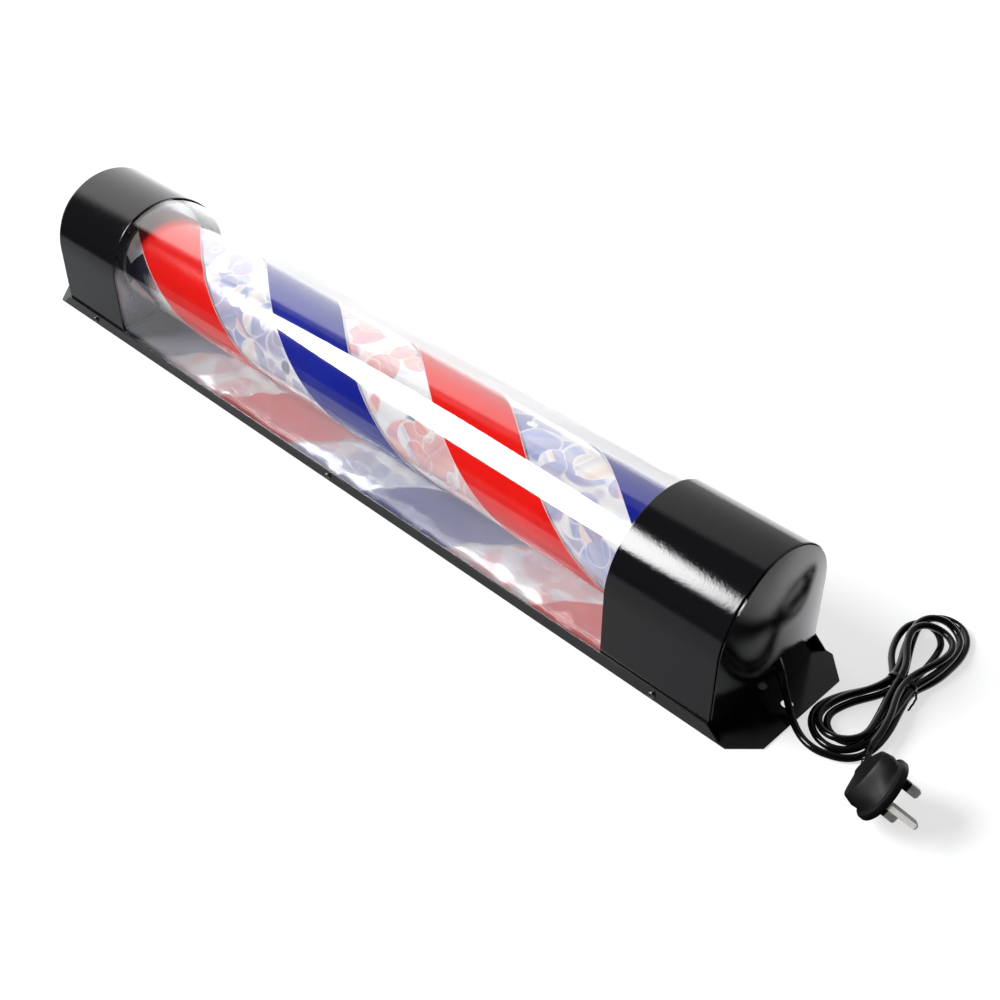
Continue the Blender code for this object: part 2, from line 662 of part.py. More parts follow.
def plug_outline(half, bottom, top, depth):
    """Flat at the lead's side, with the other side drawn in towards the earth pin."""
    shape = [
        (-0.82, 0.0), (-1.0, 0.10), (-1.0, 0.45), (-0.86, 0.72), (-0.55, 0.93), (-0.30, 1.0),
        (0.30, 1.0), (0.55, 0.93), (0.86, 0.72), (1.0, 0.45), (1.0, 0.10), (0.82, 0.0),
    ]
    return [(half * x, bottom + (top - bottom) * y, depth) for x, y in shape]


def plug():
    sections = [
        plug_outline(0.0222, -0.0158, 0.0270, 0.0000), plug_outline(0.0228, -0.0165, 0.0278, -0.0015),
        plug_outline(0.0226, -0.0165, 0.0275, -0.0090), plug_outline(0.0170, -0.0150, 0.0200, -0.0150),
        plug_outline(0.0150, -0.0140, 0.0150, -0.0250), plug_outline(0.0120, -0.0110, 0.0110, -0.0285),
    ]
    body = place("plug_body", loft(on_plug(sections)), black_rubber())
    turn = plug_frame()
    earth, pins = turn.col[1].copy(), turn.col[2].copy()
    sleeve_root = PLUG_FACE - earth * 0.0150 - pins * 0.0125
    data = turned([(0.0, 0.0056), (0.0060, 0.0052), (0.0200, 0.0034)], sleeve_root, 16, axis=-earth)
    drill(body, sleeve_root, 0.0056 + GAP, 0.0025, earth, 16)
    place("plug_sleeve", data, black_rubber())
    layout = (
        ("live", -0.0111, 0.0, 0.0177, 0.00318, 0.0020), ("neutral", 0.0111, 0.0, 0.0177, 0.00318, 0.0020),
        ("earth", 0.0, 0.0222, 0.0227, 0.0020, 0.0040),
    )
    for name, x, y, length, half_wide, half_tall in layout:
        plug_pin(name, x, y, length, half_wide, half_tall)
    low, high = (-0.0105, 0.0050, GAP), (0.0045, 0.0110, 0.0009)
    fuse = [[(low[0], low[1], z), (high[0], low[1], z), (high[0], high[1], z), (low[0], high[1], z)] for z in (low[2], high[2])]
    place("fuse_carrier", loft(on_plug(fuse)), black_rubber(), smooth=False)


def plug_pin(name, x, y, length, half_wide, half_tall):
    """A rectangular pin with a drawn-in tip. Live and neutral have an insulating sleeve near the plug."""
    def ring(z, scale):
        corners = ((-1, -1), (1, -1), (1, 1), (-1, 1))
        return [(x + half_wide * scale * i, y + half_tall * scale * j, z) for i, j in corners]

    bare_from = GAP if name == "earth" else 0.0094 + GAP
    rings = [ring(bare_from, 1.0), ring(length - 0.0015, 1.0), ring(length, 0.6)]
    place("plug_pin_" + name, loft(on_plug(rings)), brass(), smooth=False)
    if name != "earth":
        place("plug_pin_sleeve_" + name, loft(on_plug([ring(GAP, 1.0), ring(0.0094, 1.0)])), black_rubber(), smooth=False)


def main():
    for old in list(bpy.data.objects):
        bpy.data.objects.remove(old)
    tray()
    mirror_sheet()
    side_screws()
    caps()
    clear_cover()
    end_plates()
    bracket("motor_bracket", BRACKET_CORD, 1, HUB_RADIUS + 0.001)
    bracket("bearing_bracket", BRACKET_FAR, -1, BEARING_RADIUS + GAP)
    drum()
    stripe("red_stripe", RED_START, red_film())
    stripe("blue_stripe", RED_START + STRIPE_PITCH / 2, blue_film())
    drum_ends()
    drive()
    bearing()
    lamp()
    motor()
    electrics()
    sleeve()
    cord_tube("cord_lead", LEAD_ROUTE)
    hank()
    cord_tube("cord_tail", TAIL_ROUTE)
    plug()


main()
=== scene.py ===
import json
import math
import bpy
import numpy as np
from mathutils import Matrix, Vector


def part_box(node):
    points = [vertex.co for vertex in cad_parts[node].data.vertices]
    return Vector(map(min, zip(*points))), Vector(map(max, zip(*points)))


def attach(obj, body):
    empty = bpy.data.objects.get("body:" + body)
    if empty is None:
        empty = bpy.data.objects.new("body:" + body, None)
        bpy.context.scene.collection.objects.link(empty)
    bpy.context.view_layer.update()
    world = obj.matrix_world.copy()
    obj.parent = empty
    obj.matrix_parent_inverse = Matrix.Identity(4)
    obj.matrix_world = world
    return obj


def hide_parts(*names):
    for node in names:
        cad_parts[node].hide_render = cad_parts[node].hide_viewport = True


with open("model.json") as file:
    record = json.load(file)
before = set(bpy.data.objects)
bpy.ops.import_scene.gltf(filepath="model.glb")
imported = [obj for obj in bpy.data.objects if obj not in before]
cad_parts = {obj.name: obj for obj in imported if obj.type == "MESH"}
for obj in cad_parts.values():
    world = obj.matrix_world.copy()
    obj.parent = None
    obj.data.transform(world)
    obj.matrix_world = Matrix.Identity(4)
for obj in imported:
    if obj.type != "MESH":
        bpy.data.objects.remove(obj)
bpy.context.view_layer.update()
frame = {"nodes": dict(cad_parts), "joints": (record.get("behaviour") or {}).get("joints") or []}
print("frame loaded:", len(frame["nodes"]), "nodes")

scene = bpy.context.scene
axisHeight = frame["joints"][0]["pos_m"][2]  # the drum's axis, and the centre of the half-round top


def nodeBox(name):
    low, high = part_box(name)
    return np.array(low), np.array(high)


cameraSet = {
    "place": (0.7724, -0.6322, 0.7338),
    "right": (0.70721, 0.70700, 0.00221),
    "up": (-0.44170, 0.43938, 0.78221),
    "lens": 50.44,
}


def makeCamera(c):
    data = bpy.data.cameras.new("camera")
    data.lens = c["lens"]
    data.sensor_width = 36.0
    data.clip_start = 0.05
    obj = bpy.data.objects.new("camera", data)
    right, up = Vector(c["right"]).normalized(), Vector(c["up"]).normalized()
    back = right.cross(up)
    obj.matrix_world = Matrix.Translation(c["place"]) @ Matrix((right, up, back)).transposed().to_4x4()
    scene.collection.objects.link(obj)
    scene.camera = obj


makeCamera(cameraSet)
scene.view_settings.view_transform = "Standard"


def newMaterial(name, **values):
    mat = bpy.data.materials.new(name)
    mat.use_nodes = True
    shader = mat.node_tree.nodes["Principled BSDF"]
    for key, value in values.items():
        shader.inputs[key].default_value = value
    return mat, mat.node_tree, shader


def feed(tree, node, slotKey, value):
    # links a socket to the node, or sets a plain value on it
    if isinstance(value, bpy.types.NodeSocket):
        tree.links.new(value, node.inputs[slotKey])
    else:
        node.inputs[slotKey].default_value = value


def addNode(tree, kind, inputs=None, **settings):
    node = tree.nodes.new("ShaderNode" + kind)
    for key, value in settings.items():
        setattr(node, key, value)
    for key, value in (inputs or {}).items():
        feed(tree, node, key, value)
    return node


def addGroup(tree, group, **inputs):
    return addNode(tree, "Group", inputs, node_tree=group)


def maths(tree, operation, *values, clamp=False):
    # one maths node; each value is a socket or a number
    return addNode(tree, "Math", dict(enumerate(values)), operation=operation, use_clamp=clamp).outputs[0]


def vectorMaths(tree, operation, *values):
    # the same for vectors; a scale has its own slot, and a dot product its own way out
    slots = (0, "Scale" if operation == "SCALE" else 1)
    node = addNode(tree, "VectorMath", dict(zip(slots, values)), operation=operation)
    return node.outputs["Value" if operation == "DOT_PRODUCT" else "Vector"]


def ramp(tree, value, start, end, low=0.0, high=1.0):
    # a straight rise from low at start to high at end, level outside them
    return addNode(tree, "MapRange", {"Value": value, 1: start, 2: end, 3: low, 4: high}).outputs[0]


def blend(tree, share, one, two, kind="MIX"):
    return addNode(tree, "MixRGB", {"Fac": share, "Color1": one, "Color2": two}, blend_type=kind).outputs[0]


def noiseOf(tree, vector, scale, detail):
    return addNode(tree, "TexNoise", {"Vector": vector, "Scale": scale, "Detail": detail}).outputs["Fac"]


def partsOf(tree, vector):
    return addNode(tree, "SeparateXYZ", {"Vector": vector}).outputs


def bumpInto(tree, shader, height, distance, strength):
    node = addNode(tree, "Bump", {"Height": height, "Distance": distance, "Strength": strength})
    tree.links.new(node.outputs[0], shader.inputs["Normal"])


lightSet = {
    # the floor's colour and glow for the camera
    "floorHalf": 9.0,
    "floorColor": (0.47, 0.475, 0.485, 1.0),
    "floorGlow": 0.66,
    # in reflections: its colour in front and behind, the y where one turns to the other, and its glow behind
    "floorSide": (0.44, 0.45, 0.46, 1.0),
    "floorBehind": (0.90, 0.90, 0.92, 1.0),
    "behind": (-0.02, 0.09),
    "behindGlow": 1.1,
    # where the reflected floor ends: the way across each edge, how far along it, and half its softness
    "edges": [((0.344, 0.939, 0.0), -0.497, 0.03), ((-0.92, 0.39, 0.0), -0.455, 0.025)],
    "beyond": (0.02, 0.02, 0.02, 1),
    # the key light is a soft-cornered shape on the sky: its middle, half its width and height, and its lean
    "keyWay": (-0.565, -0.563, 0.603),
    "keyAcross": (0.825, -0.385, 0.413),
    "keyUp": (0.0, 0.731, 0.682),
    "keyHalf": (0.212, 0.284),
    "keyLean": 0.31,
    "keyPower": 1.7,
    "keySoft": 0.88,
    "keyGlow": 23.0,
    # the big soft panel fills every direction on this side; each ramp is start, end and its two values
    "panelWay": (-0.491, 0.793, -0.362),
    "panelEdge": (-0.02, 0.03),
    "panelDepth": (0.0, 0.7, 0.95, 1.0),
    "panelAlong": (-0.28, -0.78, 0.14, 0.92),
    "panelGlow": 1.8,
    "dimGlow": 0.03,
}


def makeFloor(c):
    # the camera sees a bright sheet; reflections see a sheet that ends in front of the object
    mesh = bpy.data.meshes.new("floor")
    s = c["floorHalf"]
    mesh.from_pydata([(-s, -s, 0), (s, -s, 0), (s, s, 0), (-s, s, 0)], [], [(0, 1, 2, 3)])
    obj = bpy.data.objects.new("floor", mesh)
    obj.location.z = -0.0002
    scene.collection.objects.link(obj)
    mat, tree, shader = newMaterial("paleFloor", **{"Roughness": 0.9, "Specular IOR Level": 0.0})
    place = addNode(tree, "TexCoord").outputs["Object"]
    behind = ramp(tree, partsOf(tree, place)["Y"], *c["behind"])
    side = blend(tree, behind, c["floorSide"], c["floorBehind"])
    for way, at, soft in c["edges"]:
        near = ramp(tree, vectorMaths(tree, "DOT_PRODUCT", place, way), at - soft, at + soft)
        side = blend(tree, near, c["beyond"], side)
    seen = addNode(tree, "LightPath").outputs
    glossy = seen["Is Glossy Ray"]
    tree.links.new(blend(tree, glossy, c["floorColor"], side), shader.inputs["Base Color"])
    tree.links.new(blend(tree, glossy, (1, 1, 1, 1), side), shader.inputs["Emission Color"])
    glow = maths(tree, "MULTIPLY", maths(tree, "MULTIPLY", glossy, behind), c["behindGlow"])
    glow = maths(tree, "MULTIPLY_ADD", seen["Is Camera Ray"], c["floorGlow"], glow)
    tree.links.new(glow, shader.inputs["Emission Strength"])
    mesh.materials.append(mat)


def makeLights(c):
    # every light is a shape on the sky, worked out from the direction v
    world = bpy.data.worlds.new("studio")
    scene.world = world
    world.use_nodes = True
    tree = world.node_tree
    v = addNode(tree, "TexCoord").outputs["Generated"]
    toPanel, toKey, keyAcross, keyUp = [vectorMaths(tree, "DOT_PRODUCT", v, Vector(c[way]).normalized())
                                        for way in ("panelWay", "keyWay", "keyAcross", "keyUp")]
    # panel: brighter towards the far end, and a little brighter away from its edge
    deeper = ramp(tree, toPanel, *c["panelDepth"])
    along = ramp(tree, partsOf(tree, v)["X"], *c["panelAlong"])
    edge = ramp(tree, toPanel, *c["panelEdge"], 0.0, c["panelGlow"])
    panel = maths(tree, "MULTIPLY_ADD", maths(tree, "MULTIPLY", deeper, along), edge, c["dimGlow"])
    # key: |a|^p + |b|^p < 1, where a and b are the shares of its half width and half height
    a = maths(tree, "DIVIDE", keyAcross, c["keyHalf"][0])
    b = maths(tree, "DIVIDE", keyUp, c["keyHalf"][1])
    a = maths(tree, "MULTIPLY_ADD", b, c["keyLean"], a)
    powers = [maths(tree, "POWER", maths(tree, "ABSOLUTE", value), c["keyPower"]) for value in (a, b)]
    inside = ramp(tree, maths(tree, "ADD", *powers), c["keySoft"], 1.0, c["keyGlow"], 0.0)
    facing = maths(tree, "GREATER_THAN", toKey, 0.5)
    key = maths(tree, "MULTIPLY_ADD", inside, facing, panel)
    seen = addNode(tree, "LightPath").outputs
    pick = addNode(tree, "Mix", {"Factor": seen["Is Camera Ray"], "A": key, "B": 1.0})
    tree.links.new(pick.outputs["Result"], tree.nodes["Background"].inputs["Strength"])
    tree.nodes["Background"].inputs["Color"].default_value = (1.0, 1.0, 1.0, 1.0)


makeFloor(lightSet)
makeLights(lightSet)
print("camera, floor and lights in place")


def gridFaces(rows, columns, closeRows=False, closeColumns=False):
    # one quad for each cell of a grid of points, numbered row by row
    i = np.arange(rows if closeRows else rows - 1)
    j = np.arange(columns if closeColumns else columns - 1)
    i, j = [a.ravel() for a in np.meshgrid(i, j, indexing="ij")]
    i2, j2 = (i + 1) % rows, (j + 1) % columns
    return np.stack([i * columns + j, i * columns + j2, i2 * columns + j2, i2 * columns + j], axis=1)


def volumeOf(points, faces):
    p = points[faces]
    a, b, c, d = p[:, 0], p[:, 1], p[:, 2], p[:, 3]
    return (np.einsum("ij,ij->i", a, np.cross(b, c)) + np.einsum("ij,ij->i", a, np.cross(c, d))).sum()


def makePiece(name, points, faces, ends=(), smooth=30.0, uv=None, mat=None):
    # puts points and quads into a mesh; ends are extra closing faces, each a list of point numbers
    points = np.asarray(points, float).reshape(-1, 3)
    faces = np.asarray(faces)
    ends = [list(e) for e in ends]
    if volumeOf(points, faces) < 0:
        faces = faces[:, ::-1]
        ends = [e[::-1] for e in ends]
    mesh = bpy.data.meshes.new(name)
    mesh.from_pydata(points.tolist(), [], faces.tolist() + ends)
    if uv is not None:
        layer = mesh.uv_layers.new(name="across")
        corner = np.zeros(len(mesh.loops), int)
        mesh.loops.foreach_get("vertex_index", corner)
        layer.data.foreach_set("uv", np.asarray(uv, np.float32).reshape(-1, 2)[corner].ravel())
    mesh.validate()
    obj = bpy.data.objects.new(name, mesh)
    scene.collection.objects.link(obj)
    mesh.shade_smooth()
    mesh.set_sharp_from_angle(angle=math.radians(smooth))
    if mat:
        mesh.materials.append(mat)
    return obj


def endFaces(rows, columns, start=0):
    # the first and the last row of a grid, as closing faces
    last = start + (rows - 1) * columns
    return [list(range(start, start + columns))[::-1], list(range(last, last + columns))]


def joinParts(parts):
    # several point and face arrays as one
    points, faces, start = [], [], 0
    for p, f in parts:
        p = np.asarray(p, float).reshape(-1, 3)
        points.append(p)
        faces.append(np.asarray(f) + start)
        start += len(p)
    return np.concatenate(points), np.concatenate(faces)


def archPath(radius, bottom, steps=96, sideSteps=6):
    # up the near side, over the half-round top and down the rear side: y, z and the outward normal
    side = np.linspace(bottom, axisHeight, sideSteps, endpoint=False)
    angle = np.linspace(0, np.pi, steps + 1)
    y = np.concatenate([np.full(sideSteps, -radius), -radius * np.cos(angle), np.full(sideSteps, radius)])
    z = np.concatenate([side, axisHeight + radius * np.sin(angle), side[::-1]])
    ny = np.concatenate([np.full(sideSteps, -1.0), -np.cos(angle), np.full(sideSteps, 1.0)])
    nz = np.concatenate([np.zeros(sideSteps), np.sin(angle), np.zeros(sideSteps)])
    return y, z, ny, nz


def roundedRect(low, high, inner, outer, corner, steps=4, along=9):
    # a closed rounded rectangle as (along, out) pairs, with extra points on its two long sides
    centres = [(high - corner, outer - corner), (low + corner, outer - corner),
               (low + corner, inner + corner), (high - corner, inner + corner)]
    reach = np.linspace(low + 3 * corner, high - 3 * corner, along)
    out = []
    for k, (a, b) in enumerate(centres):
        turn = np.linspace(0, np.pi / 2, steps + 1) + k * np.pi / 2
        out.append(np.stack([a + corner * np.cos(turn), b + corner * np.sin(turn)], axis=1))
        if along and k == 0:
            out.append(np.stack([reach[::-1], np.full(along, outer)], axis=1))
        if along and k == 2:
            out.append(np.stack([reach, np.full(along, inner)], axis=1))
    return np.concatenate(out)


def archShell(name, low, high, radius, wall, bottom, corner, mat):
    # a rounded rectangle carried along the arch: a thin half-round shell with softened rims
    y, z, ny, nz = archPath(radius, bottom)
    section = roundedRect(low, high, -wall, 0.0, corner)
    rows, n = len(y), len(section)
    x = np.broadcast_to(section[None, :, 0], (rows, n))
    py = y[:, None] + ny[:, None] * section[None, :, 1]
    pz = z[:, None] + nz[:, None] * section[None, :, 1]
    points = np.stack([x, py, pz], axis=-1)
    return makePiece(name, points, gridFaces(rows, n, False, True), endFaces(rows, n), mat=mat)


def turnedPiece(name, profile, centre, axis, mat, steps=48):
    # (along, radius) pairs turned about an axis
    axis = np.array(axis, float) / np.linalg.norm(axis)
    side = np.array((0.0, 1.0, 0.0)) if abs(axis[1]) < 0.9 else np.array((1.0, 0.0, 0.0))
    side = side - axis * (side @ axis)
    side /= np.linalg.norm(side)
    other = np.cross(axis, side)
    angle = np.linspace(0, 2 * np.pi, steps, endpoint=False)
    ring = np.cos(angle)[:, None] * side + np.sin(angle)[:, None] * other
    profile = np.asarray(profile, float)
    points = np.array(centre) + profile[:, 0, None, None] * axis + profile[:, 1, None, None] * ring[None]
    rows = len(profile)
    return makePiece(name, points, gridFaces(rows, steps, False, True), endFaces(rows, steps), mat=mat)


def objectCoord(tree, scale=(1, 1, 1), place=(0, 0, 0)):
    coord = addNode(tree, "TexCoord").outputs["Object"]
    return addNode(tree, "Mapping", {"Vector": coord, "Scale": scale, "Location": place}).outputs[0]


def newGroup(name, inputs, outputs):
    # inputs and outputs are (name, kind, value) rows
    group = bpy.data.node_groups.new(name, "ShaderNodeTree")
    for label, kind, value in inputs:
        made = group.interface.new_socket(label, in_out="INPUT", socket_type="NodeSocket" + kind)
        if value is not None:
            made.default_value = value
    for label, kind in outputs:
        group.interface.new_socket(label, in_out="OUTPUT", socket_type="NodeSocket" + kind)
    return group, group.nodes.new("NodeGroupInput"), group.nodes.new("NodeGroupOutput")


surfaceSet = {
    # dust: specks to the metre, the noise values a speck begins and is full at, and its colour
    "dustScale": 1900.0, "dustRange": (0.66, 0.74), "dustColor": (0.6, 0.6, 0.6, 1),
    # the drift's noise detail and what it does to the colour; the orange peel's noise detail and depth
    "driftDetail": 3.0, "driftBright": 1.2, "peelDetail": 2.0, "peelDepth": 0.0004,
}


def makeSurfaceGroup(c):
    # slight drift in colour and roughness, with specks of fine dust
    inputs = [("Color", "Color", (0.5, 0.5, 0.5, 1)), ("Roughness", "Float", 0.2), ("Drift", "Float", 0.1),
              ("Scale", "Float", 60.0), ("Dust", "Float", 0.0)]
    group, gin, gout = newGroup("surfaceDrift", inputs, [("Color", "Color"), ("Roughness", "Float")])
    given = gin.outputs
    place = addNode(group, "TexCoord").outputs["Object"]
    slow = noiseOf(group, place, given["Scale"], c["driftDetail"])
    speck = ramp(group, noiseOf(group, place, c["dustScale"], 2.0), *c["dustRange"])
    dust = maths(group, "MULTIPLY", speck, given["Dust"])
    drift = maths(group, "MULTIPLY", maths(group, "SUBTRACT", slow, 0.5), given["Drift"])
    rough = maths(group, "ADD", given["Roughness"], drift, clamp=True)
    rough = maths(group, "ADD", rough, dust, clamp=True)
    bright = maths(group, "MULTIPLY_ADD", drift, c["driftBright"], 1.0)
    tint = vectorMaths(group, "SCALE", given["Color"], bright)
    lit = blend(group, dust, tint, c["dustColor"])
    group.links.new(lit, gout.inputs["Color"])
    group.links.new(rough, gout.inputs["Roughness"])
    return group


surfaceGroup = makeSurfaceGroup(surfaceSet)


def driftMaterial(name, color, roughness, drift, scale, dust=0.0, bump=0.0, bumpScale=260.0, **values):
    # a plain finish with slow drift in colour and gloss, specks of dust and a little orange peel
    mat, tree, shader = newMaterial(name, **values)
    group = addGroup(tree, surfaceGroup, Color=(*color, 1), Roughness=roughness, Drift=drift, Scale=scale,
                     Dust=dust)
    tree.links.new(group.outputs["Color"], shader.inputs["Base Color"])
    tree.links.new(group.outputs["Roughness"], shader.inputs["Roughness"])
    if bump:
        peel = noiseOf(tree, objectCoord(tree), bumpScale, surfaceSet["peelDetail"])
        bumpInto(tree, shader, peel, surfaceSet["peelDepth"], bump)
    return mat


paintMat = driftMaterial("blackGlossPaint", (0.006, 0.006, 0.007), 0.06, 0.04, 25.0, dust=0.01,
                         bump=0.14, bumpScale=900.0)
trayMat = driftMaterial("blackTrayPaint", (0.012, 0.012, 0.013), 0.16, 0.08, 30.0, dust=0.05, bump=0.05)
zincMat = driftMaterial("zincPlate", (0.62, 0.63, 0.66), 0.30, 0.2, 150.0, Metallic=1.0)
screwMat = driftMaterial("darkScrew", (0.20, 0.19, 0.17), 0.30, 0.15, 500.0, Metallic=1.0)
brassMat = driftMaterial("plainBrass", (0.72, 0.58, 0.32), 0.25, 0.15, 200.0, Metallic=1.0)
pinMat = driftMaterial("nickelPins", (0.95, 0.92, 0.88), 0.24, 0.10, 300.0, Metallic=0.1, bump=0.05)
whiteMat = driftMaterial("whiteMoulding", (0.82, 0.82, 0.80), 0.42, 0.1, 90.0)
opalMat = driftMaterial("opalTube", (0.92, 0.92, 0.90), 0.30, 0.05, 90.0)
rubberMat = driftMaterial("blackCordCover", (0.003, 0.003, 0.0035), 0.15, 0.06, 120.0, dust=0.01, bump=0.05,
                          bumpScale=700.0, **{"Specular IOR Level": 0.36})
plugMat = driftMaterial("blackPlugBody", (0.004, 0.004, 0.004), 0.48, 0.12, 160.0, dust=0.03, bump=0.1,
                        bumpScale=900.0, **{"Specular IOR Level": 0.25})


def sheetGlass(name, gloss, index=1.49):
    # a clear thin wall: a mirror by the reflectance of its faces times the gloss; the rest passes straight on
    mat, tree, shader = newMaterial(name, **{"Metallic": 1.0, "Roughness": 0.015, "Base Color": (1, 1, 1, 1)})
    back = addNode(tree, "NewGeometry").outputs["Backfacing"]
    share = addNode(tree, "Fresnel", {"IOR": ramp(tree, back, 0.0, 1.0, index, 1 / index)}).outputs[0]
    tree.links.new(maths(tree, "MULTIPLY", share, gloss, clamp=True), shader.inputs["Alpha"])
    return mat


coverMat = sheetGlass("clearAcrylic", 1.4)
tubeMat = sheetGlass("clearTube", 1.0)


cordSet = {
    "diameter": 0.0054,
    # out of the sleeve, over the tongue and along the floor to the hank
    "lead": [
        (0.42480, -0.00070, 0.02050), (0.42800, -0.00180, 0.01580), (0.43180, -0.00390, 0.01150),
        (0.43700, -0.00760, 0.00770), (0.44400, -0.01270, 0.00520), (0.45200, -0.01780, 0.00360),
        (0.46100, -0.02170, 0.00300), (0.47000, -0.02280, 0.00290), (0.47850, -0.02100, 0.00290),
    ],
    # the hank's turns, x and y in order; a pass runs from the tie, at y 0.069, round one lobe and back
    "turns": [
        (0.4885, -0.0165), (0.4965, -0.0065), (0.4988, 0.0090), (0.4970, 0.0290), (0.4920, 0.0500),
        (0.4887, 0.0690), (0.4930, 0.0850), (0.4955, 0.1010), (0.4950, 0.1280), (0.4880, 0.1470),
        (0.4745, 0.1575), (0.4625, 0.1575), (0.4550, 0.1490), (0.4550, 0.1350), (0.4610, 0.1150),
        (0.4690, 0.0960), (0.4750, 0.0820), (0.4778, 0.0690), (0.4735, 0.0520), (0.4640, 0.0330),
        (0.4590, 0.0150), (0.4605, 0.0010), (0.4685, -0.0075), (0.4785, -0.0085), (0.4870, -0.0030),
        (0.4905, 0.0090), (0.4885, 0.0290), (0.4852, 0.0500), (0.4832, 0.0690), (0.4830, 0.0850),
        (0.4825, 0.1010), (0.4800, 0.1200), (0.4745, 0.1360), (0.4650, 0.1430), (0.4560, 0.1385),
        (0.4510, 0.1270), (0.4505, 0.1110), (0.4570, 0.0930), (0.4665, 0.0800), (0.4723, 0.0690),
        (0.4650, 0.0510), (0.4540, 0.0310), (0.4490, 0.0130), (0.4520, -0.0010), (0.4620, -0.0115),
        (0.4750, -0.0150), (0.4865, -0.0115), (0.4930, -0.0010), (0.4940, 0.0140), (0.4930, 0.0320),
        (0.4905, 0.0520), (0.4887, 0.0690), (0.4915, 0.0850), (0.4930, 0.1000), (0.4925, 0.1200),
        (0.4880, 0.1370), (0.4780, 0.1465), (0.4670, 0.1460), (0.4590, 0.1370), (0.4570, 0.1220),
        (0.4620, 0.1020), (0.4690, 0.0840), (0.4723, 0.0690), (0.4690, 0.0510), (0.4590, 0.0310),
        (0.4545, 0.0140), (0.4560, 0.0000), (0.4650, -0.0090), (0.4770, -0.0115), (0.4870, -0.0060),
        (0.4910, 0.0080), (0.4870, 0.0280), (0.4810, 0.0500), (0.4778, 0.0690), (0.4735, 0.0840),
        (0.4640, 0.0990), (0.4590, 0.1150), (0.4630, 0.1290), (0.4750, 0.1360), (0.4865, 0.1300),
        (0.4910, 0.1150), (0.4895, 0.0990), (0.4850, 0.0830), (0.4832, 0.0690), (0.4870, 0.0500),
        (0.4935, 0.0320), (0.4975, 0.0150), (0.4988, 0.0030),
    ],
    "tail": [(0.50070, -0.00680, 0.00900), (0.50170, -0.00900, 0.01010), (0.50270, -0.01130, 0.01140)],
    "spacing": 0.0025,
    # half the length of a crossing's hump, the passes that stack the turns, and those that smooth them
    "hump": 0.0125,
    "stacking": 9,
    "soften": 6,
    # the radius that bends are eased to, where easing begins as a share of it, how fast it sets in, its step
    # and its passes
    "bend": 0.0172,
    "easeFrom": 0.9,
    "easeRise": 4,
    "easeStep": 0.5,
    "passes": 700,
}


def curveThrough(p, steps):
    # a Catmull-Rom curve through every point but the first and the last, with this many steps between two
    t = np.linspace(0, 1, steps, endpoint=False)[:, None]
    parts = []
    for a, b, c, d in zip(p, p[1:], p[2:], p[3:]):
        bend, twist = 2 * a - 5 * b + 4 * c - d, 3 * b - a - 3 * c + d
        parts.append(0.5 * (2 * b + (c - a) * t + bend * t**2 + twist * t**3))
    return np.concatenate(parts)


def smoothLine(points, spacing):
    # evenly spaced points on a curve that passes through all the given ones
    p = np.asarray(points, float)
    p = np.concatenate([2 * p[:1] - p[1:2], p, 2 * p[-1:] - p[-2:-1]])
    return evenLine(np.concatenate([curveThrough(p, 24), p[-2:-1]]), spacing)


def evenLine(line, spacing):
    walked = np.concatenate([[0], np.cumsum(np.linalg.norm(np.diff(line, axis=0), axis=1))])
    at = np.linspace(0, walked[-1], int(round(walked[-1] / spacing)) + 1)
    return np.stack([np.interp(at, walked, line[:, k]) for k in range(3)], axis=1)


def softened(values):
    # each inner value averaged with its neighbours
    return (values[:-2] + 2 * values[1:-1] + values[2:]) / 4


def stackTurns(line, c, first, last):
    # height: a strand lies on the floor or on the earlier strands it crosses, with a long low hump over each
    d = c["diameter"]
    index = np.arange(len(line))
    flat = np.linalg.norm(line[:, None, :2] - line[None, :, :2], axis=2)
    over = (index[:, None] - index[None] > 4 * d / c["spacing"]) & (flat < d)
    rise = np.sqrt(np.maximum(d**2 - flat**2, 0.0))
    reach = int(round(c["hump"] / c["spacing"]))
    held = (index <= first) | (index >= last)
    z = line[:, 2].copy()
    for _ in range(c["stacking"]):
        need = np.maximum(np.where(over, z[None] + rise, 0.0).max(1), line[:, 2])
        wide = np.max([np.roll(need, k) for k in range(-reach, reach + 1)], axis=0)
        wide[held] = line[held, 2]
        for _ in range(2 * reach):
            wide[1:-1] = softened(wide)
        z = np.where(held, line[:, 2], np.maximum(wide, d / 2))
    out = line.copy()
    out[:, 2] = z
    return out


def easeBends(line, c, first, last):
    # where a bend is tighter than allowed, each point moves towards the middle of its neighbours
    out = line.copy()
    for _ in range(c["passes"]):
        off = (out[:-2] + out[2:]) / 2 - out[1:-1]
        bend = 2 * np.linalg.norm(off, axis=1) / c["spacing"] ** 2
        share = np.clip((bend * c["bend"] - c["easeFrom"]) * c["easeRise"], 0.0, 1.0)
        share[:first] = 0.0
        share[last:] = 0.0
        out[1:-1] += c["easeStep"] * off * share[:, None]
        out[:, 2] = np.maximum(out[:, 2], c["diameter"] / 2)
    return out


def cordPath(c):
    floorLevel = c["diameter"] / 2 + 0.0001
    whole = c["lead"] + [(x, y, floorLevel) for x, y in c["turns"]] + c["tail"]
    line = smoothLine(whole, c["spacing"])
    first, last = [int(np.argmin(np.linalg.norm(line - np.array(end), axis=1)))
                   for end in (c["lead"][-1], c["tail"][0])]
    for _ in range(c["soften"]):
        line[first:last, :2] = softened(line[first - 1:last + 1, :2])
    line = easeBends(line, c, first, last)
    line = stackTurns(line, c, first, last)
    for _ in range(c["soften"]):
        line[1:-1, 2] = softened(line[:, 2])
    line = easeBends(evenLine(line, c["spacing"]), c, 1, len(line) - 1)
    return evenLine(line, c["spacing"])


def rideAs(obj, body, nodes):
    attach(obj, body)
    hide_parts(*nodes)
    return obj


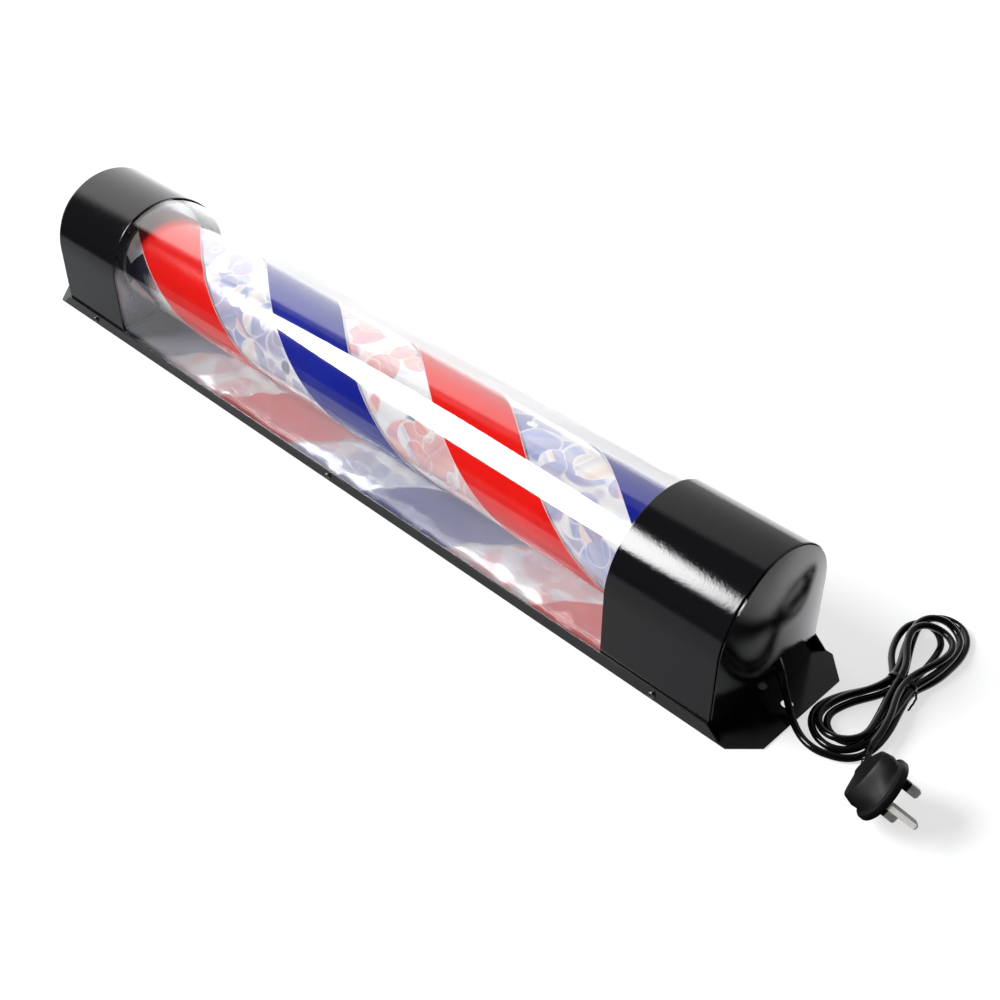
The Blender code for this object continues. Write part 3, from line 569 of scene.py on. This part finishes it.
def makeCord(c):
    line = cordPath(c)
    curve = bpy.data.curves.new("mains_lead", "CURVE")
    curve.dimensions = "3D"
    curve.bevel_depth = c["diameter"] / 2
    curve.bevel_resolution = 4
    curve.use_fill_caps = True
    spline = curve.splines.new("POLY")
    spline.points.add(len(line) - 1)
    spline.points.foreach_set("co", np.column_stack([line, np.ones(len(line))]).ravel())
    spline.use_smooth = True
    curve.materials.append(rubberMat)
    obj = bpy.data.objects.new("mains_lead", curve)
    scene.collection.objects.link(obj)
    rideAs(obj, "pole", ["cord_lead", "cord_hank", "cord_tail"])
    length = float(np.linalg.norm(np.diff(line, axis=0), axis=1).sum())
    print("lead length", round(length, 3))
    return obj, length


cordPiece, cordLength = makeCord(cordSet)


def tubeGrid(path, radius, steps):
    # circles of the given radius square to a path
    path = np.asarray(path, float)
    way = np.gradient(path, axis=0)
    way /= np.linalg.norm(way, axis=1)[:, None]
    side = np.cross(way, (0.0, 0.0, 1.0))
    side /= np.linalg.norm(side, axis=1)[:, None]
    up = np.cross(side, way)
    angle = np.linspace(0, 2 * np.pi, steps, endpoint=False)
    ring = np.cos(angle)[None, :, None] * side[:, None] + np.sin(angle)[None, :, None] * up[:, None]
    return path[:, None] + ring * radius, gridFaces(len(path), steps, False, True)


tieSet = {
    "wall": 0.0009, "corner": 0.0003, "power": 0.6, "steps": 64,
    # the twisted wire end: its radius and corners, its point spacing, its turn for each point and its swing
    "wire": 0.0008, "wireSteps": 10, "spacing": 0.0008, "twist": 0.9, "swing": 0.0005,
    "end": [(0.4920, 0.0690, 0.0060), (0.4945, 0.0660, 0.0052), (0.4957, 0.0600, 0.0042),
            (0.4962, 0.0530, 0.0030)],
}


def makeTie(c):
    # a flat band round the strands, a rounded rectangle in section, with its twisted end lying beside it
    low, high = nodeBox("cord_tie")
    mid, half = (low + high) / 2, (high - low) / 2
    angle = np.linspace(0, 2 * np.pi, c["steps"], endpoint=False)
    ox, oz = [np.sign(side) * np.abs(side) ** c["power"] for side in (np.cos(angle), np.sin(angle))]
    section = roundedRect(low[1], high[1], 0.0, c["wall"], c["corner"], 3, 0)
    x = mid[0] + ox[:, None] * (half[0] - c["wall"] + section[None, :, 1])
    z = mid[2] + oz[:, None] * (half[2] - c["wall"] + section[None, :, 1])
    y = np.broadcast_to(section[None, :, 0], x.shape)
    band = (np.stack([x, y, z], axis=-1), gridFaces(c["steps"], len(section), True, True))
    path = smoothLine(c["end"], c["spacing"])
    turn = np.arange(len(path)) * c["twist"]
    path[:, 1] += c["swing"] * np.cos(turn)
    path[:, 2] += c["swing"] * np.sin(turn)
    points, faces = joinParts([band, tubeGrid(path, c["wire"], c["wireSteps"])])
    ends = endFaces(len(path), c["wireSteps"], c["steps"] * len(section))
    tie = makePiece("tie_band", points, faces, ends, mat=rubberMat)
    return rideAs(tie, "pole", ["cord_tie"])


tiePiece = makeTie(tieSet)
print("lead, hank and tie made")

capLow, capHigh = nodeBox("cord_cap_shell")
farLow, farHigh = nodeBox("far_cap_shell")
coverLow, coverHigh = nodeBox("clear_cover")
capRadius = capHigh[1]
coverRadius = coverHigh[1]
shellSet = {"wall": 0.0010, "rim": 0.0004, "coverWall": 0.0013, "coverRim": 0.0003}


for name, low, high in (("cord_cap", capLow, capHigh), ("far_cap", farLow, farHigh)):
    shell = archShell(name, low[0], high[0], capRadius, shellSet["wall"], low[2], shellSet["rim"], paintMat)
    rideAs(shell, "pole", [name + "_shell"])

cover = archShell("cover", coverLow[0], coverHigh[0], coverRadius, shellSet["coverWall"], coverLow[2],
                  shellSet["coverRim"], coverMat)
rideAs(cover, "pole", ["clear_cover"])

plateSet = {"rise": 0.0105, "across": 1.06, "peak": 0.35, "flange": 0.0120, "wall": 0.0012,
            # the rings: how many, how they crowd to the edge, how near the middle they start, and its height
            "rings": 40, "crowd": 1.25, "reach": 0.985, "middle": 0.45}


def plateRise(y, z, c):
    # the plate swells most near its straight bottom edge and comes back to nothing at its curved edge
    across = y / (capRadius * c["across"])
    upward = (z - c["peak"] * axisHeight) / ((1 - c["peak"]) * axisHeight + capRadius)
    return c["rise"] * (1 - across**2) * (1 - upward**2)


def plateLine(radius, bottom, count=40):
    # the arch, closed along its straight bottom edge
    y, z = archPath(radius, bottom, 120, 12)[:2]
    base = np.linspace(y[-1], y[0], count + 2)[1:-1]
    return np.concatenate([y, base]), np.concatenate([z, np.full(count, bottom)])


def makePlate(name, way, c, mat):
    # rings of the plate's outline, shrunk towards its middle and pushed out by its swell, then the flange
    low, high = nodeBox(name)
    radius, bottom = high[1], low[2]
    edge = capHigh[0] if way > 0 else -farLow[0]
    middle = bottom + c["middle"] * (high[2] - bottom)
    back = way * (edge - c["flange"])
    shares = 1 - np.linspace(1, 0, c["rings"]) ** c["crowd"] * c["reach"]

    def ring(y, z, share, wall):
        py, pz = y * share, middle + (z - middle) * share
        return np.stack([way * (edge + plateRise(py, pz, c) - wall), py, pz], axis=1)

    y, z = plateLine(radius, bottom)
    yIn, zIn = plateLine(radius - c["wall"], bottom + c["wall"])
    rows = [ring(y, z, share, 0.0) for share in shares]
    rows += [np.stack([np.full(len(y), back), py, pz], axis=1) for py, pz in ((y, z), (yIn, zIn))]
    rows += [ring(yIn, zIn, share, c["wall"]) for share in shares[::-1]]
    faces = gridFaces(len(rows), len(y), False, True)
    plate = makePiece(name + "_shown", np.stack(rows), faces, endFaces(len(rows), len(y)), mat=mat)
    return rideAs(plate, "pole", [name])


makePlate("cord_end_plate", 1, plateSet, paintMat)
makePlate("far_end_plate", -1, plateSet, paintMat)
print("caps, end plates and cover made")

drumLow, drumHigh = nodeBox("drum_tube")
drumRadius = drumHigh[1]
drumSet = {"wall": 0.0008, "film": 0.0003, "gap": 0.0003, "pitch": 0.4110, "width": 0.1050, "red": -0.3560,
           "step": 1.5, "narrow": 0.0012, "across": 25}


def tubeWall(name, low, high, inner, outer, mat, steps=160):
    section = roundedRect(low, high, inner, outer, min(0.0001, (outer - inner) / 3), 1)
    angle = np.linspace(0, 2 * np.pi, steps, endpoint=False)
    x = np.broadcast_to(section[None, :, 0], (steps, len(section)))
    y = np.cos(angle)[:, None] * section[None, :, 1]
    z = axisHeight + np.sin(angle)[:, None] * section[None, :, 1]
    return makePiece(name, np.stack([x, y, z], axis=-1), gridFaces(steps, len(section), True, True), mat=mat)


def makeStripe(name, start, mat, c):
    # a band that moves along the axis by one pitch for each turn, cut square at the drum's ends
    low, high = drumLow[0] + c["gap"], drumHigh[0] - c["gap"]
    first = math.ceil((low - c["width"] + c["narrow"] - start) / c["pitch"] * 360 / c["step"])
    last = math.floor((high - c["narrow"] - start) / c["pitch"] * 360 / c["step"])
    turn = np.arange(first, last + 1) * c["step"]
    edge = start + c["pitch"] * turn / 360
    across = np.linspace(0, 1, c["across"])
    x = np.clip(edge[:, None] + c["width"] * across[None], low, high)
    angle = np.radians(90 + turn)
    inner = drumRadius + c["gap"]
    outer = inner + c["film"]
    x = np.concatenate([x, x[:, ::-1]], axis=1)
    r = np.repeat([outer, inner], c["across"])
    y = np.cos(angle)[:, None] * r[None]
    z = axisHeight + np.sin(angle)[:, None] * r[None]
    rows, n = x.shape
    share = (x - edge[:, None]) / c["width"]
    uv = np.stack([np.broadcast_to(turn[:, None] / 360, x.shape), share], axis=-1)
    points = np.stack([x, y, z], axis=-1)
    return makePiece(name, points, gridFaces(rows, n, False, True), endFaces(rows, n), uv=uv, mat=mat)


def colorRamp(tree, value, rows, interpolation="LINEAR"):
    # each row is a place along the ramp and its colour
    node = addNode(tree, "ValToRGB", {"Fac": value})
    stops = node.color_ramp
    stops.interpolation = interpolation
    stops.elements.remove(stops.elements[-1])
    stops.elements[0].position = rows[0][0]
    stops.elements[0].color = (*rows[0][1], 1)
    for at, color in rows[1:]:
        stops.elements.new(at).color = (*color, 1)
    return node.outputs[0]


stripeSet = {"roughness": 0.12, "edge": (0.489, 0.493), "edgeColor": (0.92, 0.90, 0.90, 1),
             "depthScale": 22.0, "depth": (0.3, 0.7), "wave": (14, 60, 60), "bump": (0.001, 0.25)}


def stripeMaterial(name, color, deep, c):
    # a saturated film with pale cut edges and a slow change of depth along it
    mat, tree, shader = newMaterial(name, Roughness=c["roughness"])
    uv = partsOf(tree, addNode(tree, "UVMap", uv_map="across").outputs[0])
    size = maths(tree, "ABSOLUTE", maths(tree, "SUBTRACT", uv["Y"], 0.5))
    edge = ramp(tree, size, *c["edge"])
    depth = noiseOf(tree, objectCoord(tree), c["depthScale"], 2.0)
    body = colorRamp(tree, depth, list(zip(c["depth"], (deep, color))))
    tree.links.new(blend(tree, edge, body, c["edgeColor"]), shader.inputs["Base Color"])
    bumpInto(tree, shader, noiseOf(tree, objectCoord(tree, c["wave"]), 1.0, 1.0), *c["bump"])
    return mat


redMat = stripeMaterial("redFilm", (0.96, 0.010, 0.006), (0.88, 0.006, 0.004), stripeSet)
blueMat = stripeMaterial("blueFilm", (0.010, 0.022, 0.36), (0.007, 0.014, 0.29), stripeSet)


def makeLensGroup(scatter=0.85, rimFrom=0.90):
    # one layer of round lens cells; the slope runs across each cell in the cell's own direction
    inputs = [("Vector", "Vector", None), ("Scale", "Float", 30.0), ("Reach", "Float", 0.52),
              ("Spread", "Float", 1.0)]
    labels = ("Mask", "Slope", "Rim", "Pick", "Height")
    group, gin, gout = newGroup("lensCells", inputs, [(label, "Float") for label in labels])
    vector, scale, reach, spread = [gin.outputs[row[0]] for row in inputs]
    cell = addNode(group, "TexVoronoi", {"Vector": vector, "Scale": scale, "Randomness": scatter})
    own, distance = cell.outputs["Color"], cell.outputs["Distance"]
    centre = vectorMaths(group, "SCALE", cell.outputs["Position"], scale)
    away = vectorMaths(group, "SUBTRACT", vectorMaths(group, "SCALE", vector, scale), centre)
    unit = vectorMaths(group, "NORMALIZE", vectorMaths(group, "SUBTRACT", own, (0.5, 0.5, 0.5)))
    ratio = maths(group, "DIVIDE", distance, reach)
    made = (
        maths(group, "LESS_THAN", distance, reach),
        maths(group, "MULTIPLY", vectorMaths(group, "DOT_PRODUCT", away, unit), spread),
        ramp(group, ratio, rimFrom, 1.0),
        addNode(group, "SeparateColor", {"Color": own}).outputs[0],
        maths(group, "SUBTRACT", 1.0, maths(group, "MULTIPLY", ratio, ratio), clamp=True),
    )
    for label, value in zip(labels, made):
        group.links.new(value, gout.inputs[label])
    return group


lensGroup = makeLensGroup()

lensSet = {
    "metallic": 0.22,
    "roughness": 0.20,
    # tints and painted reflection shading that one cell runs through, from one side to the other
    "tints": [(0.0, (0.72, 0.74, 0.82)), (0.16, (0.96, 0.95, 0.96)), (0.32, (0.92, 0.80, 0.78)),
              (0.45, (0.98, 0.97, 0.96)), (0.56, (0.70, 0.75, 0.90)), (0.68, (0.98, 0.97, 0.98)),
              (0.80, (0.95, 0.88, 0.82)), (0.92, (0.78, 0.77, 0.86)), (1.0, (0.96, 0.96, 0.98))],
    # a cell is tinted as a whole by one of these
    "washes": [(0.0, (1, 1, 1)), (0.30, (0.98, 0.86, 0.85)), (0.44, (1, 1, 1)), (0.62, (0.84, 0.88, 0.97)),
               (0.72, (1, 1, 1)), (0.86, (0.97, 0.93, 0.88)), (0.93, (0.42, 0.42, 0.52))],
    "rim": (0.92, 0.92, 0.94, 1),
    # each layer of cells: where its pattern starts, cells to the metre, how far a cell reaches, how fast its
    # tints and painted shading run
    "layers": [((0.0, 0.0, 0.0), 17.0, 0.62, 0.9), ((0.31, 0.17, 0.23), 19.0, 0.52, 1.1),
               ((0.71, 0.43, 0.59), 24.0, 0.46, 1.2), ((0.13, 0.83, 0.37), 33.0, 0.38, 1.5)],
    # painted views of the far side's stripes, as the cells would show them through the drum: each one's
    # middle in the turn, and its colour
    "ghosts": {"Red": (0.855, (0.86, 0.16, 0.15, 1)), "Blue": (0.355, (0.16, 0.20, 0.58, 1))},
    "ghostEdge": (0.080, 0.092),
    "ghostJump": 0.26,
    "ghostTurn": -0.16,
    "ghostShare": 0.46,
    # the glow of light that comes through the drum from its other side
    "through": 0.24,
    # painted reflection of the black far cap in the lens cells: where it begins and is full along x, how far
    # up it ends, and the cells it takes
    "dark": (0.02, 0.02, 0.035, 1),
    "darkAlong": (-0.258, -0.284),
    "darkBelow": 0.036,
    "darkFade": 0.010,
    "darkPick": (0.30, 0.34, 0.25, 1.0),
    "bump": (0.003, 0.12),
}


def makeGhostGroup(c):
    # shares of the painted view of the far side's red and blue: the helix phase, moved by each cell's jump
    # and turned over in it
    group, gin, gout = newGroup("farStripes", [("Pick", "Float", 0.5), ("Slope", "Float", 0.0)],
                                [("Red", "Float"), ("Blue", "Float")])
    place = partsOf(group, addNode(group, "TexCoord").outputs["Object"])
    height = maths(group, "SUBTRACT", place["Z"], axisHeight)
    turn = maths(group, "ARCTAN2", maths(group, "MULTIPLY", place["Y"], -1.0), height)
    pitches = maths(group, "DIVIDE", maths(group, "SUBTRACT", place["X"], drumSet["red"]), drumSet["pitch"])
    phase = maths(group, "MULTIPLY_ADD", turn, -0.5 / np.pi, pitches)
    phase = maths(group, "MULTIPLY_ADD", gin.outputs["Pick"], c["ghostJump"], phase)
    phase = maths(group, "MULTIPLY_ADD", gin.outputs["Slope"], c["ghostTurn"], phase)
    phase = maths(group, "SUBTRACT", phase, c["ghostJump"] / 2)
    for label, (middle, _) in c["ghosts"].items():
        wrapped = maths(group, "FRACT", maths(group, "SUBTRACT", phase, middle - 0.5))
        size = maths(group, "ABSOLUTE", maths(group, "SUBTRACT", wrapped, 0.5))
        group.links.new(ramp(group, size, *c["ghostEdge"], 1.0, 0.0), gout.inputs[label])
    return group


ghostGroup = makeGhostGroup(lensSet)


def lensMaterial(name, c):
    # the layers of cells laid over each other, with a painted reflection of the dark far cap over them all
    mat, tree, shader = newMaterial(name, Metallic=c["metallic"], Roughness=c["roughness"])
    color, height = None, None
    for place, scale, reach, spread in c["layers"]:
        where = objectCoord(tree, (1.0, 1.0, 1.0), place)
        cell = addGroup(tree, lensGroup, Vector=where, Scale=scale, Reach=reach, Spread=spread).outputs
        shift = maths(tree, "FRACT", maths(tree, "ADD", cell["Slope"], cell["Pick"]))
        wash = colorRamp(tree, cell["Pick"], c["washes"], "CONSTANT")
        # the ramp across each cell is partly the film's tints and partly painted reflection shading
        mixed = blend(tree, 1.0, colorRamp(tree, shift, c["tints"]), wash, "MULTIPLY")
        # painted view of the far side's stripes, laid into each cell
        ghost = addGroup(tree, ghostGroup, Pick=cell["Pick"], Slope=cell["Slope"]).outputs
        for label, (_, ghostColor) in c["ghosts"].items():
            mixed = blend(tree, maths(tree, "MULTIPLY", ghost[label], c["ghostShare"]), mixed, ghostColor)
        mixed = blend(tree, cell["Rim"], mixed, c["rim"])
        if color is None:
            color, height = mixed, cell["Height"]
        else:
            color = blend(tree, cell["Mask"], color, mixed)
            height = maths(tree, "MAXIMUM", height, cell["Height"])
    # the painted reflection of the far cap is full in most cells of the last layer and faint in the others
    place = partsOf(tree, objectCoord(tree))
    top = axisHeight + c["darkBelow"]
    far, chosen = ramp(tree, place["X"], *c["darkAlong"]), ramp(tree, cell["Pick"], *c["darkPick"])
    low = ramp(tree, place["Z"], top + c["darkFade"], top)
    share = maths(tree, "MULTIPLY", maths(tree, "MULTIPLY", far, chosen), low)
    color = blend(tree, share, color, c["dark"])
    tree.links.new(color, shader.inputs["Base Color"])
    tree.links.new(color, shader.inputs["Emission Color"])
    shader.inputs["Emission Strength"].default_value = c["through"]
    bumpInto(tree, shader, height, *c["bump"])
    return mat


lensMat = lensMaterial("lensFilm", lensSet)
tube = tubeWall("drum_wall", drumLow[0], drumHigh[0], drumRadius - drumSet["wall"], drumRadius, tubeMat)
rideAs(tube, "drum", ["drum_tube"])
filmLow, filmHigh = nodeBox("prism_film")
film = tubeWall("lens_film", filmLow[0], filmHigh[0], filmHigh[1] - drumSet["film"], filmHigh[1], lensMat)
rideAs(film, "drum", ["prism_film"])
redBand = makeStripe("red_band", drumSet["red"], redMat, drumSet)
rideAs(redBand, "drum", ["red_stripe"])
blueBand = makeStripe("blue_band", drumSet["red"] + drumSet["pitch"] / 2, blueMat, drumSet)
rideAs(blueBand, "drum", ["blue_stripe"])
print("drum made")

mirrorSet = {"color": (0.97, 0.98, 1.0, 1), "metallic": 0.72, "roughness": 0.035, "noise": 9.0, "cells": 44.0,
             "cellShare": 0.6, "bump": (0.0022, 0.45)}


def mirrorMaterial(name, c):
    # a bright sheet, dented by round cells over a slow noise
    mat, tree, shader = newMaterial(name, Metallic=c["metallic"], Roughness=c["roughness"])
    shader.inputs["Base Color"].default_value = c["color"]
    noise = noiseOf(tree, objectCoord(tree), c["noise"], 1.0)
    cell = addNode(tree, "TexVoronoi", {"Vector": objectCoord(tree), "Scale": c["cells"], "Randomness": 1.0})
    both = maths(tree, "MULTIPLY_ADD", cell.outputs["Distance"], c["cellShare"], noise)
    bumpInto(tree, shader, both, *c["bump"])
    return mat


mirrorMat = mirrorMaterial("brightMirror", mirrorSet)

screwSet = {
    # the pan head and how far it falls to its edge; its cross: depth, half width, length and soft edges
    "head": 0.0028, "height": 0.0019, "fall": 0.45, "edge": 0.35,
    "recess": 0.0011, "arm": 0.00042, "armEdge": 0.00012, "reach": 0.0017, "reachEdge": 0.0002,
    # the threaded shank: radius, pitch and depth share of the thread, and its point's length and share
    "shank": 0.0014, "thread": 0.0007, "depth": 0.10, "point": 0.0012, "pointShare": 0.55,
    "steps": 96, "headRings": 30, "shankRings": 60,
}


def softStep(room, edge):
    # 1 where there is room, 0 where there is none, and even in between
    return np.clip(room / edge + 0.5, 0, 1)


def makeScrew(name, c):
    # a pan head turned about y with a cross pressed in, and a threaded shank; the head falls with r^6
    low, high = nodeBox(name)
    way = -1.0 if high[1] < 0 else 1.0
    seat = (low[1] + c["height"]) if way < 0 else (high[1] - c["height"])
    end = high[1] if way < 0 else low[1]
    length = abs(seat - end)
    steps = c["steps"]
    angle = np.linspace(0, 2 * np.pi, steps, endpoint=False)
    r = np.linspace(0.03, 1.0, c["headRings"]) * c["head"]
    x, y = r[:, None] * np.cos(angle), r[:, None] * np.sin(angle)
    arm = np.maximum(*[softStep(c["arm"] - np.abs(side), c["armEdge"]) for side in (x, y)])
    reach = softStep(c["reach"] - r[:, None], c["reachEdge"])
    rise = c["height"] * (1 - c["fall"] * (r[:, None] / c["head"]) ** 6) - c["recess"] * arm * reach
    rise[-1] = c["edge"] * c["height"]
    rows = [np.stack([x, rise, y], axis=-1)]
    rows.append(np.stack([x[-1], np.zeros(steps), y[-1]], axis=-1)[None])
    down = np.linspace(0, length - c["point"], c["shankRings"])
    size = c["shank"] * (1 - c["depth"] * (0.5 + 0.5 * np.cos(down / c["thread"] * 2 * np.pi)))
    down, size = np.append(down, length), np.append(size, c["shank"] * c["pointShare"])
    ring = np.stack([np.cos(angle), np.zeros(steps), np.sin(angle)], axis=-1)
    rows.append(ring[None] * size[:, None, None] - np.array((0.0, 1.0, 0.0)) * down[:, None, None])
    points = np.concatenate(rows)
    points[..., 1] *= way
    points += np.array(((low[0] + high[0]) / 2, seat, (low[2] + high[2]) / 2))
    faces, ends = gridFaces(len(points), steps, False, True), endFaces(len(points), steps)
    screw = makePiece(name + "_cross", points, faces, ends, mat=screwMat, smooth=40.0)
    return rideAs(screw, "pole", [name])


for name in frame["nodes"]:
    if name.startswith("side_screw"):
        makeScrew(name, screwSet)
print("side screws made")

plugSet = {
    "face": (0.5324, -0.0386, 0.0258),
    "pins": (0.850, 0.260, -0.457),
    "earth": (0.470, -0.750, 0.447),
    # half of each outline as x, y in millimetres, from the lead's side round to the earth pin's side
    "outlines": {
        "flange": [(0, -16.8), (7, -16.6), (13, -14.6), (19, -9.0), (22.4, -2.0), (22.8, 5.0), (21.4, 12.5),
                   (16, 21.0), (8.5, 26.6), (0, 27.8)],
        "waist": [(0, -18.4), (7.5, -18.0), (9.6, -13.5), (14.5, -8.0), (19.4, -1.0), (19.8, 5.0),
                  (17.6, 12.0), (11.5, 19.4), (5.5, 23.4), (0, 24.2)],
        "body": [(0, -18.8), (7.6, -18.4), (9.8, -13.2), (14.5, -8.2), (20.4, -1.4), (20.8, 4.4),
                 (17.2, 10.2), (11, 15.8), (5.4, 18.6), (0, 19.2)],
        "back": [(0, -18.2), (6.8, -17.8), (8.8, -13.0), (13, -8.8), (18.8, -2.4), (19.2, 2.6), (15.6, 6.4),
                 (9.6, 9.0), (4.6, 10.0), (0, 10.2)],
    },
    # depth behind the face, the two outlines it lies between, the share of the second, how far it is drawn in
    "sections": [
        (0.0, "flange", "flange", 0, 0.0012), (0.0005, "flange", "flange", 0, 0.0004),
        (0.0013, "flange", "flange", 0, 0.0), (0.0044, "flange", "flange", 0, 0.0),
        (0.0051, "flange", "flange", 0, 0.0003), (0.0055, "flange", "flange", 0, 0.0009),
        (0.0058, "flange", "waist", 0.8, 0.0), (0.0064, "waist", "waist", 0, 0.0),
        (0.0085, "waist", "body", 0.5, 0.0), (0.0110, "body", "body", 0, 0.0),
        (0.0140, "body", "back", 0.45, 0.0), (0.0165, "body", "back", 0.88, 0.0),
        (0.0174, "back", "back", 0, 0.0001), (0.0181, "back", "back", 0, 0.0007),
        (0.0184, "back", "back", 0, 0.0016),
    ],
    # the sleeve's root below and behind the face, its length, its radius at the root and how much that falls
    "sleeveRoot": (0.0165, 0.0125), "sleeveLength": 0.0185, "sleeveRadius": 0.0055, "sleeveFall": 0.0019,
    # its ribs: depth, spacing, how flat they are, and the plain part before the first
    "ribDepth": 0.0006, "ribSpacing": 0.0031, "ribFlat": 2.2, "ribFrom": 0.002, "sleeveRings": 75,
}


def plugOutline(half, steps=12):
    # a closed smooth line through the half outline and its mirror image
    half = np.array(half, float) / 1000
    ring = np.concatenate([half, (half * (-1, 1))[-2:0:-1]])
    return curveThrough(np.concatenate([ring[-1:], ring, ring[:2]]), steps)


def plugAxes(c):
    # unit vectors across the face, towards the earth pin and along the pins
    pins = np.array(c["pins"]) / np.linalg.norm(c["pins"])
    earth = np.array(c["earth"]) - pins * np.dot(c["earth"], pins)
    earth /= np.linalg.norm(earth)
    return np.cross(earth, pins), earth, pins


def makePlugBody(c):
    # outlines blended from the flange to the back, one at each depth, and closed flat at both ends
    wide, earth, pins = plugAxes(c)
    outlines = {key: plugOutline(half) for key, half in c["outlines"].items()}
    rows = []
    for depth, one, two, share, draw in c["sections"]:
        line = outlines[one] * (1 - share) + outlines[two] * share
        middle = line.mean(axis=0)
        size = np.linalg.norm(line - middle, axis=1)[:, None]
        line = middle + (line - middle) * (1 - draw / size)
        rows.append(np.array(c["face"]) + line[:, :1] * wide + line[:, 1:] * earth - depth * pins)
    points = np.stack(rows)
    n = points.shape[1]
    faces, ends = gridFaces(len(rows), n, False, True), endFaces(len(rows), n)
    body = makePiece("plug_shell", points, faces, ends, mat=plugMat, smooth=28.0)
    return rideAs(body, "pole", ["plug_body"])


def makePlugSleeve(c):
    # a tapered sleeve with rounded ribs, radius falling evenly from the plug to the lead
    _, earth, pins = plugAxes(c)
    below, behind = c["sleeveRoot"]
    root = np.array(c["face"]) - earth * below - pins * behind
    along = np.linspace(0, c["sleeveLength"], c["sleeveRings"])
    ribs = np.clip(np.sin(along / c["ribSpacing"] * 2 * np.pi) * c["ribFlat"], 0, 1) * (along > c["ribFrom"])
    radius = c["sleeveRadius"] - c["sleeveFall"] * along / c["sleeveLength"] - c["ribDepth"] * ribs
    sleeve = turnedPiece("plug_grip_sleeve", np.stack([along, radius], axis=1), root, -earth, rubberMat)
    return rideAs(sleeve, "pole", ["plug_sleeve"])


plugShell = makePlugBody(plugSet)
plugGrip = makePlugSleeve(plugSet)
print("plug made")

carried = {
    "base_tray": trayMat, "mirror_sheet": mirrorMat, "lead_sleeve": rubberMat,
    "motor_bracket": zincMat, "bearing_bracket": zincMat, "motor_gearbox": zincMat, "motor_can": zincMat,
    "motor_shaft": zincMat, "journal_bearing": brassMat,
    "drum_drive_disc": whiteMat, "drum_journal_disc": whiteMat, "drive_coupling": whiteMat,
    "lamp_tube": opalMat, "lamp_pilot_cap": whiteMat, "lamp_contact_cap": whiteMat, "lamp_holder": whiteMat,
    "lamp_driver": whiteMat, "terminal_block": whiteMat,
    "fuse_carrier": plugMat,
    "plug_pin_live": pinMat, "plug_pin_neutral": pinMat, "plug_pin_earth": pinMat,
    "plug_pin_sleeve_live": plugMat, "plug_pin_sleeve_neutral": plugMat,
}
for name in frame["nodes"]:
    if "screw" in name and not name.startswith("side"):
        carried[name] = screwMat
for name, mat in carried.items():
    node = frame["nodes"][name]
    node.data.materials.clear()
    node.data.materials.append(mat)
print("finishes carried over")
